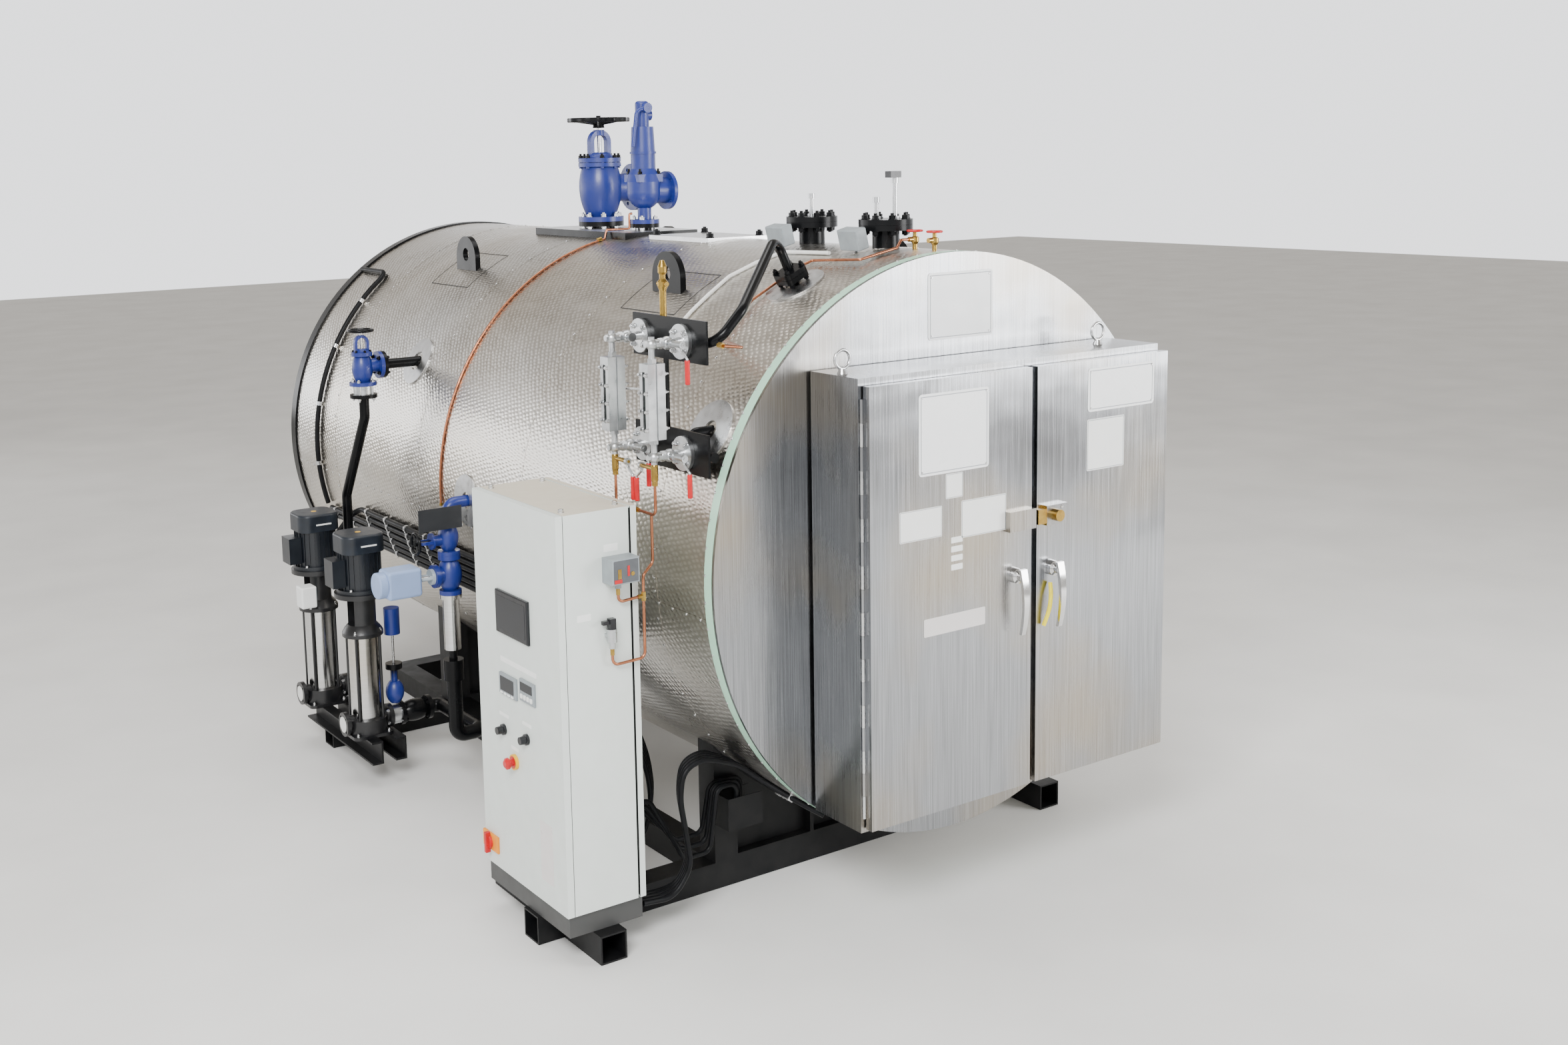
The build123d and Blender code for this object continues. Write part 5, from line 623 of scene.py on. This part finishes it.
# bolts of the crown, safety and feed valves and of the steel pipe flanges
bright = Pile()
dark = Pile()
flangeBolts(bright, (0, crown["y"]), crown["flangeTop"], crown["flangeUnder"], 0.086, 8, 0.020, 0.006, 0.004)
faceBolts(dark, (0, crown["y"], crown["bonnetTop"]), up, 0.0892, 8, 0.018, 0.008)
flangeBolts(bright, (0, safety["y"]), safety["flangeTop"], safety["flangeUnder"], 0.050, 4,
            0.018, 0.005, 0.006)
for x in (-0.048, 0.048):
    for y in (1.552, 1.648):
        dark.bolt((x, y, safety["squareTop"]), up, 0.018, 0.012)
flangeBolts(bright, (feed["x"], feed["y"]), feed["flangeTop"], feed["flangeUnder"], 0.047, 4,
            0.013, 0.004, 0.006)
faceBolts(dark, (feed["x"], feed["y"], feed["bonnetTop"]), up, 0.037, 6, 0.011, 0.003)
faceBolts(dark, (-1.118, feed["y"], feed["port"]), left, 0.047, 4, 0.014, 0.004)
faceBolts(dark, (-1.0857, feed["y"], feed["port"]), right, 0.047, 4, 0.014, 0.004)
# control station and discharge flanges
for z, way in ((0.9236, up), (1.0545, -up), (1.1905, -up), (1.2085, up)):
    faceBolts(bright, (station["x"], station["y"], z), way, 0.037, 4, 0.012, 0.003)
for y in pumps["places"]:
    faceBolts(bright, (-1.2802, y, pumps["port"]), left, 0.040, 4, 0.013, 0.003)
faceBolts(bright, (-1.2434, 2.285, pumps["port"]), right, 0.040, 4, 0.013, 0.003)
for x, way in ((-1.2049, right), (-1.0951, left)):
    faceBolts(dark, (x, 1.765, pumps["port"]), way, 0.042, 4, 0.013, 0.004)
# pump base feet, tie rod nuts and motor flange bolts
for y in pumps["places"]:
    for x in (-1.44, -1.30):
        for side in (-0.07, 0.07):
            bright.bolt((x, y + side, 0.2146), up, 0.012, 0.004)
    faceBolts(bright, (pumps["x"], y, 0.6561), up, 0.0785, 4, 0.014, 0.006)
    faceBolts(bright, (pumps["x"], y, 0.8512), up, 0.0965, 4, 0.012, 0.0)
    bright.rod((-1.4665, y + 0.03, 0.93), (-1.4705, y + 0.03, 0.93), 0.0085, 20)
    bright.rod((-1.30, y - 0.089, 0.905), (-1.30, y - 0.097, 0.905), 0.009, 20)
bright.finish("plated_bolts", look["zinc"], "boiler")

# probe flanges, access plate and balance flanges have black bolts
for y in (0.355, -0.093):
    flangeBolts(dark, (0, y), 2.405, 2.364, 0.080, 8, 0.022, 0.008, 0.004)
for x in (-0.125, 0.125):
    for y in (0.885, 1.3):
        dark.bolt((x, y, 2.3082), up, 0.026, 0.006)
turn = math.radians(116)
away = Vector((math.cos(turn), 0, math.sin(turn)))
along = Vector((-math.sin(turn), 0, math.cos(turn)))
for s in (-0.034, 0.034):
    for y in (-0.182, -0.114):
        base = Vector((0, y, axisHeight)) + along * s
        dark.bolt(base + away * 1.110, away, 0.018, 0.006)
        dark.bolt(base + away * 1.073, -away, 0.018, 0.004)
dark.finish("black_bolts", look["black"], "boiler")

# level gauges: flange bolts, body studs with nuts, and the glass strips
studs = Pile()
panes = Pile()
for y in gauges["places"]:
    for z in (gauges["upper"], gauges["lower"]):
        faceBolts(studs, (-1.0444, y, z), left, 0.043, 4, 0.015, 0.004)
        studs.rod((-1.0442, y, z), (-1.0462, y, z), 0.030, 32)
    for z in (1.775, 1.835, 1.895, 1.955):
        for side in (-0.0195, 0.0195):
            studs.bolt((-1.1832, y + side, z), left, 0.0115, 0.003)
            studs.rod((-1.1168, y + side, z), (-1.1015, y + side, z), 0.0036, 12)
            studs.rod((-1.1168, y + side, z), (-1.1098, y + side, z), 0.0066, 6)
    panes.span((-1.1785, y - 0.0075, 1.768), (-1.1762, y + 0.0075, 1.962))
studs.finish("gauge_bolts", look["zinc"], "boiler")
panes.finish("gauge_panes", look["gaugeGlass"], "boiler")

# screws on the conduit clips, two at each
tray = {"firstAngle": 193.2, "stepAngle": 1.86, "cables": 6, "clipTop": 0.0292}
clipScrews = Pile()
for index in range(tray["cables"]):
    angle = tray["firstAngle"] + tray["stepAngle"] * index
    places = [0.56, 1.1, 1.81, 2.02, 2.245, 2.47] + ([2.7, 2.915] if index in (2, 3) else [])
    for y in places:
        for shift in (-0.62, 0.62):
            top = onShell(angle + shift, y, tray["clipTop"])
            clipScrews.screw(top, outward(angle), 0.0052)
clipScrews.finish("clip_screws", look["zinc"], "boiler")
print("bolts made")


# bare plate or label with rounded corners, lying on a face of the given depth
def plate(pile, axis, face, low, high, thick, corner):
    middle = [(a + b) / 2 for a, b in zip(low, high)]
    half = [(b - a) / 2 for a, b in zip(low, high)]
    outline = []
    for sx, sy, start in ((1, 1, 0), (-1, 1, 90), (-1, -1, 180), (1, -1, 270)):  # the four corners
        for step in range(6):
            angle = math.radians(start + step * 18)
            outline.append((middle[0] + sx * (half[0] - corner) + corner * math.cos(angle),
                            middle[1] + sy * (half[1] - corner) + corner * math.sin(angle)))
    sheets = []
    for depth in (face, face - thick):
        spots = [(u, depth, v) if axis == "y" else (depth, u, v) for u, v in outline]
        sheets.append([pile.mesh.verts.new(spot) for spot in spots])
    back, top = sheets
    pile.mesh.faces.new(top)
    pile.mesh.faces.new(back[::-1])
    count = len(outline)
    for step in range(count):
        pile.mesh.faces.new((back[step], back[(step + 1) % count], top[(step + 1) % count], top[step]))


# printed line round a sign, a little inside its edge
def border(pile, face, low, high, inset=0.008, width=0.0025):
    x0, z0, x1, z1 = low[0] + inset, low[1] + inset, high[0] - inset, high[1] - inset
    for first, second in (((x0, z0), (x1, z0 + width)),
                          ((x0, z1 - width), (x1, z1)),
                          ((x0, z0 + width), (x0 + width, z1 - width)),
                          ((x1 - width, z0 + width), (x1, z1 - width))):
        pile.span((first[0], face - 0.0003, first[1]), (second[0], face, second[1]))


# sign on the front plate: low and high corners, in x and z
frontSign = {"face": -0.478, "low": (-0.133, 1.996), "high": (0.169, 2.231), "thick": 0.002}
signs = Pile()
plate(signs, "y", frontSign["face"], frontSign["low"], frontSign["high"], frontSign["thick"], 0.012)
signs.finish("front_sign_plate", look["signPlate"], "boiler")
signBorder = Pile()
border(signBorder, -0.480, frontSign["low"], frontSign["high"])
signBorder.finish("front_sign_border", look["border"], "boiler")
signScrews = Pile()
for x in (-0.117, 0.153):
    for z in (2.012, 2.215):
        signScrews.screw((x, -0.480, z), front, 0.0045)
signScrews.finish("front_sign_screws", look["zinc"], "boiler")

# signs, labels and screws of both doors
doorFace = -0.774
signThick = 0.0018
labelThick = 0.0005
leftDoor = {
    "sign": ((-0.433, 1.596), (-0.125, 1.868)),
    "labels": (((-0.316, 1.508), (-0.241, 1.592)),
               ((-0.516, 1.385), (-0.333, 1.489)),
               ((-0.246, 1.366), (-0.044, 1.493))),
    "nameplate": ((-0.412, 1.051), (-0.139, 1.112)),
    "smallLabels": (1.261, 1.292, 1.323, 1.354),
}
leftSigns = Pile()
plate(leftSigns, "y", doorFace, *leftDoor["sign"], signThick, 0.012)
leftSigns.finish("left_door_sign", look["signPlate"], "left_door")
leftBorder = Pile()
border(leftBorder, doorFace - signThick, *leftDoor["sign"])
for low, high in leftDoor["labels"]:
    border(leftBorder, doorFace - labelThick, low, high, 0.002, 0.0015)
leftBorder.finish("left_sign_borders", look["border"], "left_door")
leftLabels = Pile()
for low, high in leftDoor["labels"]:
    plate(leftLabels, "y", doorFace, low, high, labelThick, 0.004)
for z in leftDoor["smallLabels"]:
    plate(leftLabels, "y", doorFace, (-0.292, z), (-0.241, z + 0.020), labelThick, 0.002)
leftLabels.finish("left_door_labels", look["label"], "left_door")
clearPlate = Pile()
plate(clearPlate, "y", doorFace, *leftDoor["nameplate"], 0.0012, 0.004)
clearPlate.finish("left_door_nameplate", look["namePlate"], "left_door")
leftScrews = Pile()
for x in (-0.421, -0.137):
    for z in (1.608, 1.856):
        leftScrews.screw((x, doorFace - signThick, z), front, 0.0045)
leftScrews.finish("left_sign_screws", look["zinc"], "left_door")

rightDoor = {"sign": ((0.347, 1.730), (0.683, 1.884)), "label": ((0.345, 1.519), (0.532, 1.703))}
rightSigns = Pile()
plate(rightSigns, "y", doorFace, *rightDoor["sign"], signThick, 0.012)
rightSigns.finish("right_door_sign", look["signPlate"], "right_door")
rightBorder = Pile()
border(rightBorder, doorFace - signThick, *rightDoor["sign"])
border(rightBorder, doorFace - labelThick, *rightDoor["label"], 0.003, 0.002)
rightBorder.finish("right_sign_borders", look["border"], "right_door")
rightLabel = Pile()
plate(rightLabel, "y", doorFace, *rightDoor["label"], labelThick, 0.005)
rightLabel.finish("right_door_label", look["label"], "right_door")
rightScrews = Pile()
for x in (0.360, 0.670):
    for z in (1.742, 1.872):
        rightScrews.screw((x, doorFace - signThick, z), front, 0.0045)
for z in (1.375, 1.417):
    rightScrews.screw((0.20, -0.798, z), front, 0.006)
rightScrews.finish("right_sign_screws", look["zinc"], "right_door")
print("signs made")

# cabinet: screen glass, controller displays, label strips, nameplate and roof bolts
doorFront = -1.505
controllerFace = doorFront - 0.0103
glass = Pile()
plate(glass, "x", doorFront - 0.0123, (-0.048, 1.072), (0.156, 1.188), 0.0006, 0.004)
glass.finish("screen_glass", look["screenGlass"], "control_door")
shows = Pile()
plate(shows, "x", controllerFace, (0.056, 0.853), (0.154, 0.903), 0.0008, 0.003)
plate(shows, "x", controllerFace, (-0.078, 0.889), (0.006, 0.919), 0.0008, 0.003)
shows.finish("controller_displays", look["screenGlass"], "control_door")
keys = Pile()
for step in range(4):
    small, wide = step * 0.023, step * 0.026
    plate(keys, "x", controllerFace, (-0.080 + small, 0.862), (-0.064 + small, 0.878), 0.0022, 0.003)
    plate(keys, "x", controllerFace, (0.058 + wide, 0.842), (0.076 + wide, 0.849), 0.0018, 0.002)
keys.finish("controller_keys", look["label"], "control_door")
doorLabels = Pile()
for low, high in (((-0.096, 0.950), (0.166, 0.968)), ((0.120, 0.752), (0.190, 0.764)),
                  ((-0.046, 0.764), (0.018, 0.776)), ((0.055, 0.652), (0.108, 0.664))):
    plate(doorLabels, "x", doorFront, low, high, 0.0006, 0.002)
doorLabels.finish("cabinet_door_labels", look["label"], "control_door")
ratingPlate = Pile()
plate(ratingPlate, "x", doorFront, (-0.171, 0.252), (-0.085, 0.461), 0.0008, 0.003)
ratingPlate.finish("cabinet_rating_plate", look["namePlate"], "control_door")
sideLabels = Pile()
plate(sideLabels, "y", -0.261, (-1.331, 1.385), (-1.278, 1.409), 0.0006, 0.002)
plate(sideLabels, "y", -0.261, (-1.437, 1.167), (-1.385, 1.190), 0.0006, 0.002)
sideLabels.finish("cabinet_side_labels", look["label"], "boiler")
roofBolts = Pile()
for x in (-1.455, -1.255):
    for y in (-0.21, 0.29):
        roofBolts.bolt((x, y, 1.525), up, 0.016)
roofBolts.finish("cabinet_roof_bolts", look["zinc"], "boiler")

# switch window with the mechanism behind it
window = Pile()
plate(window, "y", -0.3273, (-1.333, 1.291), (-1.241, 1.366), 0.0006, 0.003)
window.finish("switch_window", look["switchWindow"], "boiler")
mechanism = Pile()
mechanism.span((-1.331, -0.3292, 1.292), (-1.303, -0.3278, 1.304))
mechanism.span((-1.282, -0.3292, 1.312), (-1.274, -0.3278, 1.346))
mechanism.finish("switch_mechanism", look["red"], "boiler")
works = Pile()
works.span((-1.318, -0.3290, 1.306), (-1.305, -0.3278, 1.338))
works.rod((-1.263, -0.3278, 1.318), (-1.263, -0.3300, 1.318), 0.007)
works.finish("switch_works", look["brass"], "boiler")

# blank discs on the pumps' suction flanges, and a small mark on each fan cover
discs = Pile()
marks = Pile()
for y in pumps["places"]:
    discs.rod((-1.4782, y, pumps["port"]), (-1.4802, y, pumps["port"]), 0.034, 40)
    marks.rod((pumps["x"], y, 1.0882), (pumps["x"], y, 1.0889), 0.012, 28)
discs.finish("flange_blanks", look["white"], "boiler")
marks.finish("fan_cover_marks", look["stopYellow"], "boiler")
print("plates made")


# point of the tag's curve at a share of its length
def tagPoint(share):
    bow = 0.012 * math.sin(math.pi * share)
    return Vector((0.158 - 0.030 * share ** 1.4, -0.786 - bow, 1.150 - 0.150 * share))


# yellow tag on the right handle, hung from its boss
tag = Pile()
tagSteps = 8
for step in range(tagSteps):
    tag.rod(tagPoint(step / tagSteps), tagPoint((step + 1) / tagSteps), 0.0075, 8)
tag.finish("handle_tag", look["tagYellow"], "right_handle")

# thin frames of sheet round the feet of the lifting lugs
lugFrames = {"places": (0.528, 2.280), "turn": 32.0, "half": 0.19, "edge": 0.193, "angle": 7.0, "inner": 6.8}
frames = Pile()
for centreY in lugFrames["places"]:
    front0, back0 = centreY - lugFrames["half"], centreY + lugFrames["half"]
    for side in (1, -1):
        middle = 90 + side * lugFrames["turn"]
        outer0, outer1 = middle - lugFrames["angle"], middle + lugFrames["angle"]
        for low, high, start, end in ((outer0, middle - lugFrames["inner"], front0, back0),
                                      (middle + lugFrames["inner"], outer1, front0, back0),
                                      (outer0, outer1, centreY - lugFrames["edge"], front0),
                                      (outer0, outer1, back0, centreY + lugFrames["edge"])):
            frames.wrap(low, high, start, end, 0.0002, 0.0006, 8)
frames.finish("lug_seams", look["seamBlack"], "boiler")

# bright strip on each motor's fan cover
strips = Pile()
for y in pumps["places"]:
    plate(strips, "y", y - 0.0931, (-1.395, 1.040), (-1.325, 1.0465), 0.0008, 0.001)
strips.finish("fan_cover_strips", look["label"], "boiler")
print("small pieces made")

# black cables clipped under the shell that swing down towards the cabinet, and a bunch from the tray's end
cables = {"radius": 0.0095, "bend": 0.10, "lift": 0.0115, "clipAngle": 232,
          "swung": 4, "swungFirst": -0.165, "swungStep": 0.023,
          "hung": 5, "hungFirst": 0.082, "hungStep": 0.024}
bunch = Pile()
for index in range(cables["swung"]):
    y, x = cables["swungFirst"] - cables["swungStep"] * index, -0.012 * index
    route = [onShell(237, y - 0.20, cables["lift"]), onShell(cables["clipAngle"], y - 0.11, cables["lift"]),
             onShell(227, y - 0.02, 0.0125),
             (-0.800, y, 0.538), (-0.910 + x, y, 0.590), (-0.990 + x, y, 0.566), (-1.008 + x, y, 0.470),
             (-0.984 + x, y, 0.334), (-0.967 + x, y, 0.215), (-1.022 + x, y, 0.132 + 0.004 * index),
             (-1.100, y, 0.124), (-1.200, y, 0.134)]
    bunch.tube(rounded(route, cables["bend"]), cables["radius"])
for index in range(cables["hung"]):
    y, x = cables["hungFirst"] + cables["hungStep"] * index, 0.016 * index
    route = [onShell(196 + tray["stepAngle"] * index, 0.570, 0.018),
             (-1.055 + x, 0.45 + y / 4, 0.810 - 0.02 * index),
             (-1.000 + x, 0.26 + y / 4, 0.640), (-0.965 + x, y + 0.03, 0.470), (-0.965 + x, y, 0.320),
             (-1.010 + x, y, 0.205), (-1.110, y, 0.165), (-1.204, y, 0.186)]
    bunch.tube(rounded(route, cables["bend"]), cables["radius"])
bunch.finish("hanging_cables", look["rubber"], "boiler")
cableClips = Pile()
clipTurn = Matrix.Rotation(math.radians(-(cables["clipAngle"] - 180)), 4, "Y")
for index in range(cables["swung"]):
    y = cables["swungFirst"] - cables["swungStep"] * index
    cableClips.box(onShell(cables["clipAngle"], y - 0.11, cables["lift"]), (0.024, 0.008, 0.024), clipTurn)
cableClips.finish("cable_clips", look["zinc"], "boiler")
print("cables made")


# floor of pale concrete, one millimetre under the skid
def makeFloor(half=30):
    mesh = bpy.data.meshes.new("floor")
    corners = [(-half, -half, 0), (half, -half, 0), (half, half, 0), (-half, half, 0)]
    mesh.from_pydata(corners, [], [(0, 1, 2, 3)])
    obj = bpy.data.objects.new("floor", mesh)
    bpy.context.collection.objects.link(obj)
    material, tree, shader, place = startMaterial("PaleConcrete", "e9e9e7", 0.75)
    cloud = noise(tree, place, 1.4, 5.0)
    tone = blendColor(tree, spread(tree, cloud, 0.0, 1.0), "e6e6e4", "f0f0ee")
    tree.links.new(tone, shader.inputs["Base Color"])
    mesh.materials.append(material)
    obj.location.z = -0.001


makeFloor()

lights = {
    "key": {"place": (-5.2, -4.2, 5.4), "aim": (-0.3, 0.6, 1.2), "size": (3.2, 2.4), "power": 700.0},
    "overhead": {"place": (-0.6, 1.6, 6.2), "aim": (0.0, 1.5, 1.2), "size": (3.0, 5.0), "power": 200.0},
    "window": {"place": (-6.5, 9.0, 1.9), "aim": (-0.9, 1.4, 1.5), "size": (9.0, 2.2), "power": 150.0},
    "fill": {"place": (4.6, -5.2, 2.6), "aim": (0.2, 0.0, 1.2), "size": (3.0, 3.0), "power": 380.0},
}


def makeLight(name, settings):
    data = bpy.data.lights.new(name, "AREA")
    data.shape = "RECTANGLE"
    data.size, data.size_y = settings["size"]
    data.energy = settings["power"]
    obj = bpy.data.objects.new(name, data)
    bpy.context.collection.objects.link(obj)
    obj.visible_camera = False
    obj.location = settings["place"]
    toward = Vector(settings["aim"]) - Vector(settings["place"])
    obj.rotation_euler = toward.to_track_quat("-Z", "Y").to_euler()


for name, settings in lights.items():
    makeLight(name, settings)


# the studio's walls are bright near the floor's horizon and dimmer and warmer overhead
def makeWorld():
    world = bpy.data.worlds.new("world")
    bpy.context.scene.world = world
    world.use_nodes = True
    tree = world.node_tree
    way = addNode(tree, "ShaderNodeTexCoord").outputs["Generated"]
    rise = addNode(tree, "ShaderNodeSeparateXYZ", links={"Vector": way}).outputs["Z"]
    share = spread(tree, rise, 0.0, 1.0, 0.10, 0.45)
    wall = blendColor(tree, share, "fbfcff", "c2bcb4")
    background = tree.nodes["Background"]
    tree.links.new(wall, background.inputs["Color"])
    tree.links.new(spread(tree, rise, 2.1, 0.95, 0.10, 0.5), background.inputs["Strength"])


makeWorld()
print("floor and lights made")
